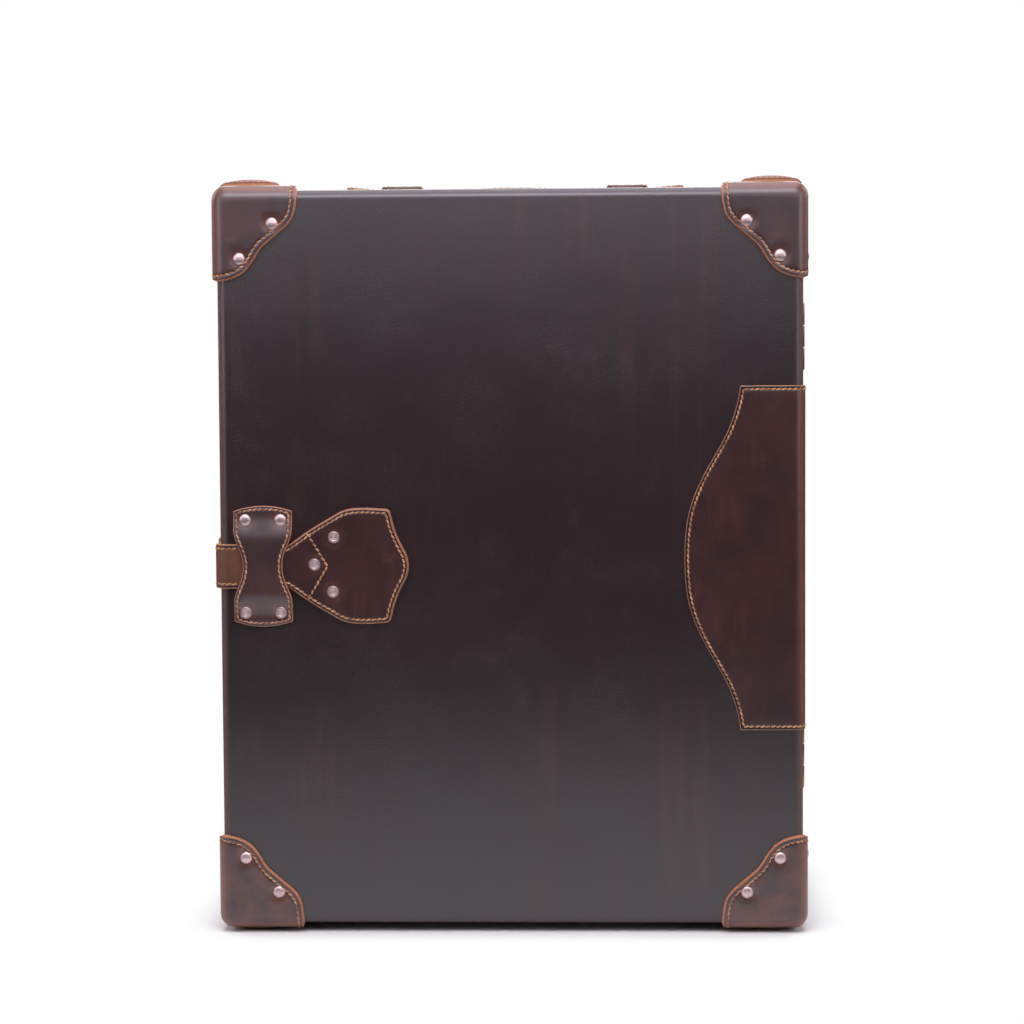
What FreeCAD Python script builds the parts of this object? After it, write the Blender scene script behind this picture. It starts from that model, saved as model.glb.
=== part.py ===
"""Leather wardrobe trunk that stands on end and opens like a book.

Millimetres, +Z up. The origin is on the ground under the middle of the trunk. The lid (the
hanging side) faces -Y, the back half (the drawer side) faces +Y, and the hinges stand on the
+X side.
"""
import FreeCAD, Part
import math
import os
from FreeCAD import Placement, Rotation, Vector

# ---------------------------------------------------------------- driving dimensions
# Case
BODY_W = 475.0            # overall width of the leather-covered case
BODY_H = 600.0            # height of the case without its corner guards
LID_D = 125.0             # depth of the lid
BACK_D = 175.0            # depth of the back half
EDGE_R = 8.0              # rounding of every outer edge
SKIN_T = 2.2              # covering leather
BOARD_T = 7.0             # plywood boards
GLUE_LINE = 0.1           # between boards that are glued together
LINING_T = 1.0            # lining glued to the boards
RIM_GAP = 0.4             # gap between the closed rims
# Rim frame: the wooden lip that lines up the two halves
LIP_REACH = 6.0           # how far the lip enters the lid
LIP_SEAT = 12.0           # how far the frame sits inside the back half
LIP_T = 4.0               # thickness of the frame
LIP_CLEAR = 0.5           # clearance between the lip and the boards
LIP_CHAMFER = 1.2
# Corner guards
GUARD_T = 4.0             # two layers of leather
GUARD_X = 66.4            # reach along the width
GUARD_Z = 73.8            # reach along the height
GUARD_Y = 58.0            # reach along the depth
GUSSET_T = 3.2            # the raised leather that closes a guard's folds
GUSSET_W = 42.0
GUSSET_INSET = 5.0        # gusset's edge from the corner of the case
GUSSET_FLAT = 0.8         # how much the crown of the gusset is worn flat
GUARD_BED_CLEAR = 0.35    # room between a guard and the rounded edge under it
# Rivets
RIVET_R = 5.1
RIVET_H = 2.1
RIVET_CROWN = 0.55        # share of a cap's width that its crown takes
FASTENER_SIDES = 8        # small heads are drawn with this many sides
# Latch on the lid
LATCH_Z = 295.0           # height of its centre line above the bottom of the case
STRAP_W = 36.0
STRAP_T = 4.4
WRAP_EASE = 0.7           # leather that goes round an edge bends this much tighter than it
KEEPER_X = 35.8           # keeper's centre from the left side of the case
KEEPER_W = 47.7
KEEPER_WAIST = 32.0
KEEPER_H = 98.7
KEEPER_CROWN = 4.3        # how much the ends of a keeper are crowned
KEEPER_T = 3.0
KEEPER_SLOPE = 0.5        # run of a keeper's rise, as a share of its height
KEEPER_RIVET_U = 14.4
KEEPER_RIVET_V = 37.8
TUNNEL_CLEAR = 0.2        # play of a sewn strap under its keeper
SHIELD_TIP_X = 154.6      # shield's pointed end from the left side of the case
SHIELD_L = 71.0           # from the shield's tip to where its sides start to flare
SHIELD_HALF = 47.4        # half of the shield's height
SHIELD_LAYER_T = 2.2
SHIELD_STEP = 1.1         # how far the backing shows round the face
NECK_HALF = 15.5          # half the height of the shield's neck
LOOP_BACK = 51.0          # the strap loop's centre behind the front of the lid
LOOP_W = 14.0
LOOP_T = 2.5
TAIL_HINGE_BACK = 8.0     # bend line of the strap's tail, in front of the parting plane
TAIL_L = 66.0             # tail's length behind its bend line
TAIL_STAND = 0.4          # tail's clearance to the side of the case
TAIL_BUTTON_R = 7.0
MAGNET_W = 14.0           # the plate in the leather that the button is drawn to
# Spine patch over the hinge side
PATCH_H = 280.0
PATCH_T = 1.8
PATCH_BELLY = 96.6        # how far its curved edge reaches round the face, at mid height
PATCH_SHOULDER = 51.0     # the same at its top and bottom
# Hinges
HINGE_H = 57.0
HINGE_GAP = 10.5          # from an end of the spine patch to the hinge beyond it
HINGE_OUT = 5.0           # hinge axis outside the side of the case
LEAF_L = 26.0
LEAF_T = 1.6
KNUCKLE_R = 4.2
PIN_R = 2.0
PIN_CLEAR = 0.05
PIN_HEAD_R = 3.4
KNUCKLE_GAP = 0.3
LEAF_CUTBACK = 0.6        # leaf's clearance to the other leaf's knuckle
SCREW_R = 2.6
SCREW_H = 0.9
# Handle on top of the back half
HANDLE_Y = 36.0           # handle's centre line behind the parting plane
HANDLE_W = 30.0
HANDLE_T = 5.5
HANDLE_BELLY = 2.2        # extra thickness of the grip in its middle
HANDLE_STAND = 0.8        # play under and over the strap in its keepers
GRIP_HALF = 41.0          # grip's centre to the bend of a neck
NECK_L = 34.0             # between the two bends of a neck
BEND_CLEAR = 0.3
TOP_KEEPER_X = 78.5       # inner side of a handle keeper from the middle
TOP_KEEPER_W = 36.0
TOP_KEEPER_WAIST = 27.0
TOP_KEEPER_L = 68.0
TOP_KEEPER_T = 3.5
TOP_RIVET_V = 26.9
TAIL_END_X = 145.0        # outer end of a handle tail
TAIL_CURL_X = 123.0       # where the tail starts to curl up
TAIL_CURL = 3.2
# Drawers
CASE_T = 6.0              # panels of the drawer case
DRAWER_HEIGHTS = (145.0, 130.0, 125.0)   # from the bottom up
DRAWER_NAMES = ("bottom", "middle", "top")
DRAWER_HEAD = 2.0         # room over a drawer
DRAWER_SIDE = 0.8         # room beside a drawer
DRAWER_SLIP = 0.3         # room under and behind a drawer
DRAWER_WALL = 6.0
DRAWER_FLOOR = 5.0
DRAWER_FRONT_T = 12.0
DRAWER_BEVEL = 1.5
DRAWER_DROP = 14.0        # how much lower the box is than its front
PULL_L = 84.0
PULL_W = 16.0
PULL_T = 2.4
PULL_OUT = 7.6            # finger room behind a pull
PULL_SPAN = 44.0
# Hanging rail in the lid
RAIL_BLOCK_T = 4.0
RAIL_W = 20.0
RAIL_H = 12.0
RAIL_T = 1.6
RAIL_SLOT = 8.0
RAIL_LEN_CLEAR = 2.0      # ends of the rail clear of the lining and of the lip
TROLLEY_PLAY = 0.4
TROLLEY_T = 3.0
WEB_W = 6.0
BRACKET_W = 18.0
BRACKET_T = 3.0
ROD_R = 4.5
ROD_DROP = 19.0           # rod's axis under the rail
# Hangers
HANGER_COUNT = 3
HANGER_W = 384.0
HANGER_T = 12.0
HANGER_DROP = 44.0        # how far the shoulders fall
HANGER_DEPTH = 26.0       # height of the wood at its middle
HANGER_TIP = 15.0         # height of the wood at its ends
HOOK_WIRE = 3.5           # the hook is bent from square wire of this side
HOOK_R = 7.5              # half the inside width of the hook
HOOK_STEP = 36.0          # the hook is bent in steps of this many degrees
HOOK_CLEAR = 0.3          # hook to rod
HOOK_STEM = 30.0          # rod axis to the top of the wood
HOOK_SINK = 12.0          # stem's length inside the wood
TROUSER_BAR_R = 4.5
TROUSER_BAR_DROP = 58.0   # trouser bar's axis under the top of the wood

# ---------------------------------------------------------------- derived places
WALL_T = SKIN_T + BOARD_T
Y_FRONT = -(LID_D + BACK_D) / 2
Y_BACK = -Y_FRONT
Y_PART = Y_FRONT + LID_D
Z_BOTTOM = GUARD_T + GUSSET_T
Z_TOP = Z_BOTTOM + BODY_H
Z_MID = Z_BOTTOM + BODY_H / 2
SIDE_X = BODY_W / 2
CAVITY_X = SIDE_X - WALL_T
CAVITY_FRONT = Y_FRONT + WALL_T
CAVITY_BACK = Y_BACK - WALL_T
CAVITY_BOTTOM = Z_BOTTOM + WALL_T
CAVITY_TOP = Z_TOP - WALL_T
LINED_X = CAVITY_X - LINING_T
LINED_BOTTOM = CAVITY_BOTTOM + LINING_T
LINED_TOP = CAVITY_TOP - LINING_T
LINED_FRONT = CAVITY_FRONT + LINING_T
LINED_BACK = CAVITY_BACK - LINING_T
HINGE_X = SIDE_X + HINGE_OUT
FAR = 2000.0              # larger than the trunk, for cutting tools

NODES = {}


# ---------------------------------------------------------------- drawing helpers
def box(x0, x1, y0, y1, z0, z1):
    """A box between two corners."""
    return Part.makeBox(x1 - x0, y1 - y0, z1 - z0, Vector(x0, y0, z0))


def line(a, b):
    return Part.LineSegment(a, b).toShape()


def arc(a, middle, b):
    return Part.Arc(a, middle, b).toShape()


def face(edges):
    """A flat face inside a closed run of edges."""
    return Part.Face(Part.Wire(edges))


def front_plane(u, v):
    """Drawing plane of the faces that look along Y: u is X and v is Z."""
    return Vector(u, 0, v)


def top_plane(u, v):
    """Drawing plane of the faces that look along Z: u is X and v is Y."""
    return Vector(u, v, 0)


def side_plane(u, v):
    """Drawing plane of the faces that look along X: u is Y and v is Z."""
    return Vector(0, u, v)


def rounded_path(points, radii):
    """Edges from the first point to the last, with a tangent arc at each point between."""
    edges = []
    start = points[0]
    for before, corner, after, radius in zip(points, points[1:], points[2:], radii):
        towards = (before - corner).normalize()
        away = (after - corner).normalize()
        half = towards.getAngle(away) / 2
        reach = radius / math.tan(half)
        middle_way = (towards + away).normalize()
        centre = corner + middle_way * (radius / math.sin(half))
        enter = corner + towards * reach
        leave = corner + away * reach
        edges.append(line(start, enter))
        edges.append(arc(enter, centre - middle_way * radius, leave))
        start = leave
    edges.append(line(start, points[-1]))
    return edges


def ribbon(flat_points, thickness, radius, plane):
    """Cross-section of a leather band that lies along a path.

    The band is on the path's left side, or on its right where thickness is negative.
    radius is the smaller radius of each bend, whichever way the band turns; with None the
    band is folded sharply.
    """
    flat = [Vector(u, v, 0) for u, v in flat_points]
    ways = [(b - a).normalize() for a, b in zip(flat, flat[1:])]
    lefts = [Vector(-w.y, w.x, 0) for w in ways]
    outer = [flat[0] + lefts[0] * thickness]
    inner_radii = []
    outer_radii = []
    for corner, way_in, way_out, left in zip(flat[1:], ways, ways[1:], lefts):
        turn = way_in.x * way_out.y - way_in.y * way_out.x
        half = way_in.getAngle(way_out) / 2
        sign = 1.0 if turn > 0 else -1.0
        outer.append(corner + left * thickness - way_in * (sign * thickness * math.tan(half)))
        if radius is not None:
            wide, small = radius + abs(thickness), radius
            bends_towards_band = turn * thickness > 0
            inner_radii.append(wide if bends_towards_band else small)
            outer_radii.append(small if bends_towards_band else wide)
    outer.append(flat[-1] + lefts[-1] * thickness)
    inner = [plane(p.x, p.y) for p in flat]
    outer = [plane(p.x, p.y) for p in outer]
    if radius is None:
        return Part.Face(Part.makePolygon(inner + outer[::-1] + inner[:1]))
    edges = rounded_path(inner, inner_radii)
    edges.append(line(inner[-1], outer[-1]))
    edges += rounded_path(outer[::-1], outer_radii[::-1])
    edges.append(line(outer[0], inner[0]))
    return face(edges)


def bow_tie(width, waist, length, plane):
    """Outline of a keeper round (0, 0): crowned ends and sides that draw in to a waist."""
    ends = length / 2 - KEEPER_CROWN
    straight = ends * 0.7
    half, narrow = width / 2, waist / 2

    def side(sign):
        """The drawn-in side on +u (1) or -u (-1) and the crowned end it walks to."""
        def at(u, v):
            return plane(sign * u, sign * v)
        return [
            line(at(half, -ends), at(half, -straight)),
            arc(at(half, -straight), at(narrow, 0), at(half, straight)),
            line(at(half, straight), at(half, ends)),
            arc(at(half, ends), at(0, length / 2), at(-half, ends)),
        ]

    return face(side(1) + side(-1))


def extrude(flat, x=0.0, y=0.0, z=0.0):
    return flat.extrude(Vector(x, y, z))


def moved(shape, x=0.0, y=0.0, z=0.0):
    copy = shape.copy()
    copy.translate(Vector(x, y, z))
    return copy


def mirrored(shape, x=1, y=1, z=1):
    """The shape with the axes whose sign is -1 turned round."""
    result = shape
    for sign, normal in ((x, Vector(1, 0, 0)), (y, Vector(0, 1, 0)), (z, Vector(0, 0, 1))):
        if sign < 0:
            result = result.mirror(Vector(0, 0, 0), normal)
    return result


def node(name, *solids):
    """Keep the solids of one named sub-part."""
    found = []
    for shape in solids:
        found += shape.Solids
    NODES[name] = found[0] if len(found) == 1 else Part.makeCompound(found)


# ---------------------------------------------------------------- fasteners
def many_sided(radius, z):
    """The points of a regular outline that touches a circle of this radius from within."""
    turns = [2 * math.pi * i / FASTENER_SIDES for i in range(FASTENER_SIDES)]
    return [Vector(radius * math.cos(t), radius * math.sin(t), z) for t in turns]


def between(low, high):
    """The solid between two level outlines with the same number of points."""
    faces = [Part.Face(Part.makePolygon(ring + ring[:1])) for ring in (low, high)]
    for i in range(len(low)):
        corners = [low[i - 1], low[i], high[i], high[i - 1]]
        faces.append(Part.Face(Part.makePolygon(corners + corners[:1])))
    return Part.Solid(Part.Shell(faces))


def many_sided_rod(radius, z0, z1):
    """A pin along the Z axis with as many sides as a fastener."""
    return between(many_sided(radius, z0), many_sided(radius, z1))


def head(place, way, radius, height):
    """A raised fastener head that stands on place; way points out of the surface."""
    solid = between(many_sided(radius, 0), many_sided(radius * RIVET_CROWN, height))
    solid.Placement = Placement(place, Rotation(Vector(0, 0, 1), way))
    return solid


def rivet(place, way, cap_r=RIVET_R):
    """A domed rivet; larger caps are higher in proportion."""
    return head(place, way, cap_r, RIVET_H * cap_r / RIVET_R)


# ---------------------------------------------------------------- case
def edges_along(shape, axis):
    """The edges that run along X (0), Y (1) or Z (2)."""
    return [e for e in shape.Edges if abs(abs(e.tangentAt(e.FirstParameter)[axis]) - 1) < 1e-6]


def dressed_block(low, high, dress):
    """A box whose edges are dressed one direction at a time, so that its corners are mitred."""
    size = high - low
    result = None
    for axis in range(3):
        block = Part.makeBox(size.x, size.y, size.z, low)
        block = dress(block, edges_along(block, axis))
        result = block if result is None else result.common(block)
    return result


def bevel_over(radius, clear=0.0):
    """Width of the bevel that touches a rounding of this radius, or stands clear of it."""
    return radius * (2 - math.sqrt(2)) - clear * math.sqrt(2)


def case_corners(inset):
    return (Vector(-SIDE_X + inset, Y_FRONT + inset, Z_BOTTOM + inset),
            Vector(SIDE_X - inset, Y_BACK - inset, Z_TOP - inset))


def leather_block():
    """The outside of the whole closed case, with rounded edges."""
    return dressed_block(*case_corners(0.0), lambda block, edges: block.makeFillet(EDGE_R, edges))


def board_block():
    """The outside of the boards, their edges planed off under the rounded leather."""
    bevel = bevel_over(EDGE_R - SKIN_T)
    return dressed_block(*case_corners(SKIN_T),
                         lambda block, edges: block.makeChamfer(bevel, edges))


def half_space(side):
    """Everything on the lid's side (-1) or the back half's side (1) of the parting plane."""
    if side < 0:
        return box(-FAR, FAR, -FAR, Y_PART - RIM_GAP / 2, -FAR, FAR)
    return box(-FAR, FAR, Y_PART + RIM_GAP / 2, FAR, -FAR, FAR)


def boards(tray, side):
    """The five plywood boards of one half: face board, two sides, top and bottom."""
    face_y = CAVITY_FRONT if side < 0 else CAVITY_BACK
    panel = tray.common(box(-FAR, FAR, *sorted((face_y, side * FAR)), -FAR, FAR))
    rim_ward = sorted((face_y - side * GLUE_LINE, -side * FAR))
    left = tray.common(box(-FAR, -CAVITY_X, *rim_ward, -FAR, FAR))
    right = tray.common(box(CAVITY_X, FAR, *rim_ward, -FAR, FAR))
    reach = CAVITY_X - GLUE_LINE
    return [panel, left, right] + tray.common(box(-reach, reach, *rim_ward, -FAR, FAR)).Solids


def lining(side):
    """The thin lining of one half, which stops short of the rim frame."""
    if side < 0:
        y0, y1, stop = CAVITY_FRONT, Y_PART - LIP_REACH - LIP_CLEAR, LINED_FRONT
        inside = (stop, FAR)
    else:
        y0, y1, stop = Y_PART + LIP_SEAT, CAVITY_BACK, LINED_BACK
        inside = (-FAR, stop)
    outer = box(-CAVITY_X, CAVITY_X, y0, y1, CAVITY_BOTTOM, CAVITY_TOP)
    return outer.cut(box(-LINED_X, LINED_X, *inside, LINED_BOTTOM, LINED_TOP))


def rim_frame():
    """Four rails of the lip, the upright ones standing between the level ones."""
    out_x, in_x = CAVITY_X - LIP_CLEAR, CAVITY_X - LIP_CLEAR - LIP_T
    low, high = CAVITY_BOTTOM + LIP_CLEAR, CAVITY_TOP - LIP_CLEAR
    y0, y1 = Y_PART - LIP_REACH, Y_PART + LIP_SEAT
    frame = box(-out_x, out_x, y0, y1, low, high)
    leading = [e for e in frame.Edges if e.BoundBox.YMax < y0 + 1e-6]
    frame = frame.makeChamfer(LIP_CHAMFER, leading)
    frame = frame.cut(box(-in_x, in_x, -FAR, FAR, low + LIP_T, high - LIP_T))
    level = frame.common(box(-FAR, FAR, -FAR, FAR, -FAR, low + LIP_T))
    level = level.fuse(frame.common(box(-FAR, FAR, -FAR, FAR, high - LIP_T, FAR)))
    upright = frame.common(box(-FAR, FAR, -FAR, FAR, low + LIP_T, high - LIP_T))
    return level.Solids + upright.Solids


# ---------------------------------------------------------------- corner guards
def flap_edge(reach_u, reach_v, over, plane):
    """Outline of one flap of a guard, with two lobes that meet in a hollow.

    The flap's own corner is at (0, 0); over is how far the outline runs past it.
    """
    def at(u, v):
        return plane(u * reach_u, v * reach_v)

    return face([
        line(plane(-over, -over), plane(reach_u, -over)),
        line(plane(reach_u, -over), at(1.0, 0.0)),
        line(at(1.0, 0.0), at(0.982, 0.19)),
        arc(at(0.982, 0.19), at(0.915, 0.345), at(0.70, 0.525)),
        arc(at(0.70, 0.525), at(0.56, 0.615), at(0.471, 0.757)),
        arc(at(0.471, 0.757), at(0.35, 0.9), at(0.13, 0.995)),
        line(at(0.13, 0.995), plane(0, reach_v)),
        line(plane(0, reach_v), plane(-over, reach_v)),
        line(plane(-over, reach_v), plane(-over, -over)),
    ])


def corner_shell():
    """Leather moulded over a corner of the case, which lies at the origin, inside +X+Y+Z."""
    size = 2 * max(GUARD_X, GUARD_Y, GUARD_Z)
    far = Vector(size, size, size)

    def near(edges, corner):
        return [e for e in edges
                if min(v.Point.distanceToPoint(corner) for v in e.Vertexes) < 1e-6]

    outer = Vector(-GUARD_T, -GUARD_T, -GUARD_T)
    outside = dressed_block(
        outer, far, lambda block, edges: block.makeFillet(EDGE_R + GUARD_T, near(edges, outer)))
    inner = Vector(0, 0, 0)
    bevel = bevel_over(EDGE_R, GUARD_BED_CLEAR)
    bed = dressed_block(
        inner, far, lambda block, edges: block.makeChamfer(bevel, near(edges, inner)))
    return outside.cut(bed)


def guard_rivet_places():
    """Where the rivets of one guard sit, in the guard's own corner frame."""
    places = []
    for share_x, share_z in ((0.693, 0.37), (0.289, 0.752)):
        places.append((Vector(share_x * GUARD_X, -GUARD_T, share_z * GUARD_Z), Vector(0, -1, 0)))
        places.append((Vector(-GUARD_T, share_x * GUARD_Y, share_z * GUARD_Z), Vector(-1, 0, 0)))
    return places


def guard_solid():
    """One corner guard in its own corner frame."""
    over = 3 * GUARD_T
    long = 3 * (GUARD_X + GUARD_Y + GUARD_Z)
    front = extrude(flap_edge(GUARD_X, GUARD_Z, over, front_plane), y=long)
    side = extrude(flap_edge(GUARD_Y, GUARD_Z, over, side_plane), x=long)
    top = extrude(flap_edge(GUARD_X, GUARD_Y, over, top_plane), z=long)
    shell = corner_shell()
    for flap in (moved(front, y=-over), moved(side, x=-over), moved(top, z=-over)):
        shell = shell.common(flap)
    return shell


def gusset_solid():
    """The arched round of leather that closes a guard's folds, in the corner frame."""
    rise = GUSSET_T + GUSSET_FLAT
    base = -GUARD_T
    x0, x1 = GUSSET_INSET, GUSSET_INSET + GUSSET_W
    middle = (x0 + x1) / 2
    arch = face([
        arc(Vector(x0, 0, base), Vector(middle, 0, base - rise), Vector(x1, 0, base)),
        line(Vector(x1, 0, base), Vector(x0, 0, base)),
    ])
    arch = extrude(arch, y=x1 + GUSSET_INSET)
    arch = arch.cut(box(-FAR, FAR, -FAR, FAR, -FAR, base - GUSSET_T))
    column = Part.makeCylinder(GUSSET_W / 2, FAR, Vector(middle, middle, -FAR / 2))
    return arch.common(column)


def corner_frames(side):
    """Signs and corners of the four corners of one half of the case."""
    corner_y = Y_FRONT if side < 0 else Y_BACK
    for across, sign_x in (("left", 1), ("right", -1)):
        for sign_z in (1, -1):
            corner = Vector(-sign_x * SIDE_X, corner_y, Z_BOTTOM if sign_z > 0 else Z_TOP)
            yield across, (sign_x, -side, sign_z), corner


def in_corner(shape, signs, corner):
    placed = mirrored(shape, *signs)
    return moved(placed, corner.x, corner.y, corner.z)


def build_guards(side, prefix):
    guard, gusset = guard_solid(), gusset_solid()
    rivets = [rivet(*place) for place in guard_rivet_places()]
    guards, gussets, guard_rivets = {"left": [], "right": []}, [], []
    for across, signs, corner in corner_frames(side):
        guards[across].append(in_corner(guard, signs, corner))
        gussets.append(in_corner(gusset, signs, corner))
        guard_rivets += [in_corner(r, signs, corner) for r in rivets]
    for across, pair in guards.items():
        node(f"{prefix}_guards_{across}", *pair)
    node(f"{prefix}_gussets", *gussets)
    return guard_rivets


# ---------------------------------------------------------------- latch
def keeper_solid(width, waist, length, thickness, tunnel_half, tunnel_h):
    """A keeper lying on the ground plane, its tunnel along X; length runs along Y."""
    half = length / 2
    slope = tunnel_h * KEEPER_SLOPE
    section = ribbon([(half, 0), (tunnel_half + slope, 0), (tunnel_half, tunnel_h),
                      (-tunnel_half, tunnel_h), (-tunnel_half - slope, 0), (-half, 0)],
                     -thickness, None, side_plane)
    band = moved(extrude(section, x=width), x=-width / 2)
    outline = bow_tie(width, waist, length, top_plane)
    return band.common(moved(extrude(outline, z=FAR), z=-FAR / 2))


def shield_outline(step):
    """Outline of the shield with its neck, drawn in by step."""
    tip = -SIDE_X + SHIELD_TIP_X - step
    flare = tip - SHIELD_L
    wide = SHIELD_HALF - step
    neck = NECK_HALF - step
    z = Z_BOTTOM + LATCH_Z
    neck_end = -SIDE_X + KEEPER_X
    neck_out = flare - SHIELD_L * 0.43
    shoulder = tip - SHIELD_L * 0.66
    flank = tip - SHIELD_L * 0.235
    nose = tip - SHIELD_L * 0.06

    def half(sign):
        """From the end of the neck to the shield's point, above (1) or below (-1)."""
        def at(u, v):
            return Vector(u, 0, z + sign * v)
        return [
            line(at(neck_end, neck), at(neck_out, neck + 1.0)),
            arc(at(neck_out, neck + 1.0), at(flare - SHIELD_L * 0.2, wide * 0.52),
                at(flare + SHIELD_L * 0.02, wide * 0.72)),
            arc(at(flare + SHIELD_L * 0.02, wide * 0.72), at(tip - SHIELD_L * 0.85, wide * 0.88),
                at(shoulder, wide * 0.985)),
            line(at(shoulder, wide * 0.985), at(flank, wide)),
            arc(at(flank, wide), at(tip - SHIELD_L * 0.15, wide * 0.66), at(nose, wide * 0.36)),
        ]

    above, below = half(1), half(-1)
    point = arc(Vector(nose, 0, z + wide * 0.36), Vector(tip, 0, z), Vector(nose, 0, z - wide * 0.36))
    heel = line(Vector(neck_end, 0, z - neck), Vector(neck_end, 0, z + neck))
    return face(above + [point] + below[::-1] + [heel])


def build_latch(rivets):
    z = Z_BOTTOM + LATCH_Z
    keeper_x = -SIDE_X + KEEPER_X
    tunnel_h = STRAP_T + TUNNEL_CLEAR

    backing = moved(extrude(shield_outline(0), y=-SHIELD_LAYER_T), y=Y_FRONT)
    cover = moved(extrude(shield_outline(SHIELD_STEP), y=-SHIELD_LAYER_T),
                  y=Y_FRONT - SHIELD_LAYER_T)
    shield_way = Vector(0, -1, 0)
    shield_top = Y_FRONT - 2 * SHIELD_LAYER_T
    tip = -SIDE_X + SHIELD_TIP_X
    shield_rivets = [Vector(tip - SHIELD_L * u, shield_top, z + SHIELD_HALF * v)
                     for u, v in ((0.855, 0.50), (1.08, 0.03), (0.87, -0.44))]
    node("latch_shield_backing", backing)
    node("latch_shield_face", cover)
    rivets += [rivet(p, shield_way) for p in shield_rivets]

    keeper = keeper_solid(KEEPER_W, KEEPER_WAIST, KEEPER_H, KEEPER_T,
                          STRAP_W / 2 + TUNNEL_CLEAR, tunnel_h)
    keeper.Placement = Placement(Vector(keeper_x, Y_FRONT, z), Rotation(Vector(1, 0, 0), 90))
    keeper_top = Y_FRONT - KEEPER_T
    places = [Vector(keeper_x + u * KEEPER_RIVET_U, keeper_top, z + v * KEEPER_RIVET_V)
              for u in (-1, 1) for v in (-1, 1)]
    node("latch_keeper", keeper)
    rivets += [rivet(p, shield_way) for p in places]

    # The strap meets the shield's neck under the keeper and turns round the edge of the lid.
    strap_end = Y_PART - TAIL_HINGE_BACK - STRAP_T / 2 - BEND_CLEAR
    section = ribbon([(-SIDE_X, strap_end), (-SIDE_X, Y_FRONT), (keeper_x, Y_FRONT)],
                     -STRAP_T, EDGE_R - WRAP_EASE, top_plane)
    node("latch_strap", moved(extrude(section, z=STRAP_W), z=z - STRAP_W / 2))

    loop_half = STRAP_W / 2 + TUNNEL_CLEAR
    loop = ribbon([(0, loop_half), (tunnel_h, loop_half), (tunnel_h, -loop_half), (0, -loop_half)],
                  LOOP_T, 0.6, lambda u, v: Vector(-SIDE_X - u, 0, z + v))
    node("latch_strap_loop", moved(extrude(loop, y=LOOP_W), y=Y_FRONT + LOOP_BACK - LOOP_W / 2))


def build_strap_tail():
    """The free end of the strap, which lies on the back half's side and peels away."""
    z = Z_BOTTOM + LATCH_Z
    thick = STRAP_T - TAIL_STAND
    outer, inner = -SIDE_X - STRAP_T, -SIDE_X - TAIL_STAND
    bend_y = Y_PART - TAIL_HINGE_BACK
    middle_x = (outer + inner) / 2
    end_y = bend_y + TAIL_L
    nose_r = STRAP_W / 2
    low, high = z - STRAP_W / 2, z + STRAP_W / 2
    outline = face([
        line(Vector(outer, bend_y, low), Vector(outer, end_y - nose_r, low)),
        arc(Vector(outer, end_y - nose_r, low), Vector(outer, end_y, z),
            Vector(outer, end_y - nose_r, high)),
        line(Vector(outer, end_y - nose_r, high), Vector(outer, bend_y, high)),
        line(Vector(outer, bend_y, high), Vector(outer, bend_y, low)),
    ])
    tail = extrude(outline, x=thick)
    root = Part.makeCylinder(thick / 2, STRAP_W, Vector(middle_x, bend_y, low))
    tail = tail.fuse(root).removeSplitter()
    button = Vector(outer, end_y - nose_r, z)
    way = Vector(-1, 0, 0)
    node("strap_tail", tail)
    node("strap_tail_button", rivet(button, way, TAIL_BUTTON_R))
    half = MAGNET_W / 2
    return box(-SIDE_X, -SIDE_X + SKIN_T, button.y - half, button.y + half, z - half, z + half)


# ---------------------------------------------------------------- spine patch and hinges
def spine_patch(side):
    """One half's part of the leather patch that is wrapped round the hinge side."""
    low, high = Z_MID - PATCH_H / 2, Z_MID + PATCH_H / 2
    edge_x = SIDE_X - PATCH_BELLY
    face_y = Y_FRONT if side < 0 else Y_BACK
    section = ribbon([(edge_x - PATCH_T, face_y), (SIDE_X, face_y),
                      (SIDE_X, Y_PART + side * RIM_GAP)],
                     side * PATCH_T, EDGE_R - WRAP_EASE, top_plane)
    wrap = moved(extrude(section, z=PATCH_H), z=low)
    belly = PATCH_BELLY - PATCH_SHOULDER

    def at(u, v):
        return Vector(SIDE_X - PATCH_SHOULDER - belly * u, 0, Z_MID + v * PATCH_H / 2)

    outline = face([
        arc(at(0, 1), at(0.2, 0.755), at(0.63, 0.5)),
        arc(at(0.63, 0.5), at(1, 0), at(0.63, -0.5)),
        arc(at(0.63, -0.5), at(0.2, -0.755), at(0, -1)),
        line(at(0, -1), Vector(FAR, 0, low)),
        line(Vector(FAR, 0, low), Vector(FAR, 0, high)),
        line(Vector(FAR, 0, high), at(0, 1)),
    ])
    return wrap.common(moved(extrude(outline, y=2 * FAR), y=-FAR))


def hinge_levels():
    off = PATCH_H / 2 + HINGE_GAP + HINGE_H / 2
    return (Z_MID - off, Z_MID + off)


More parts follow.
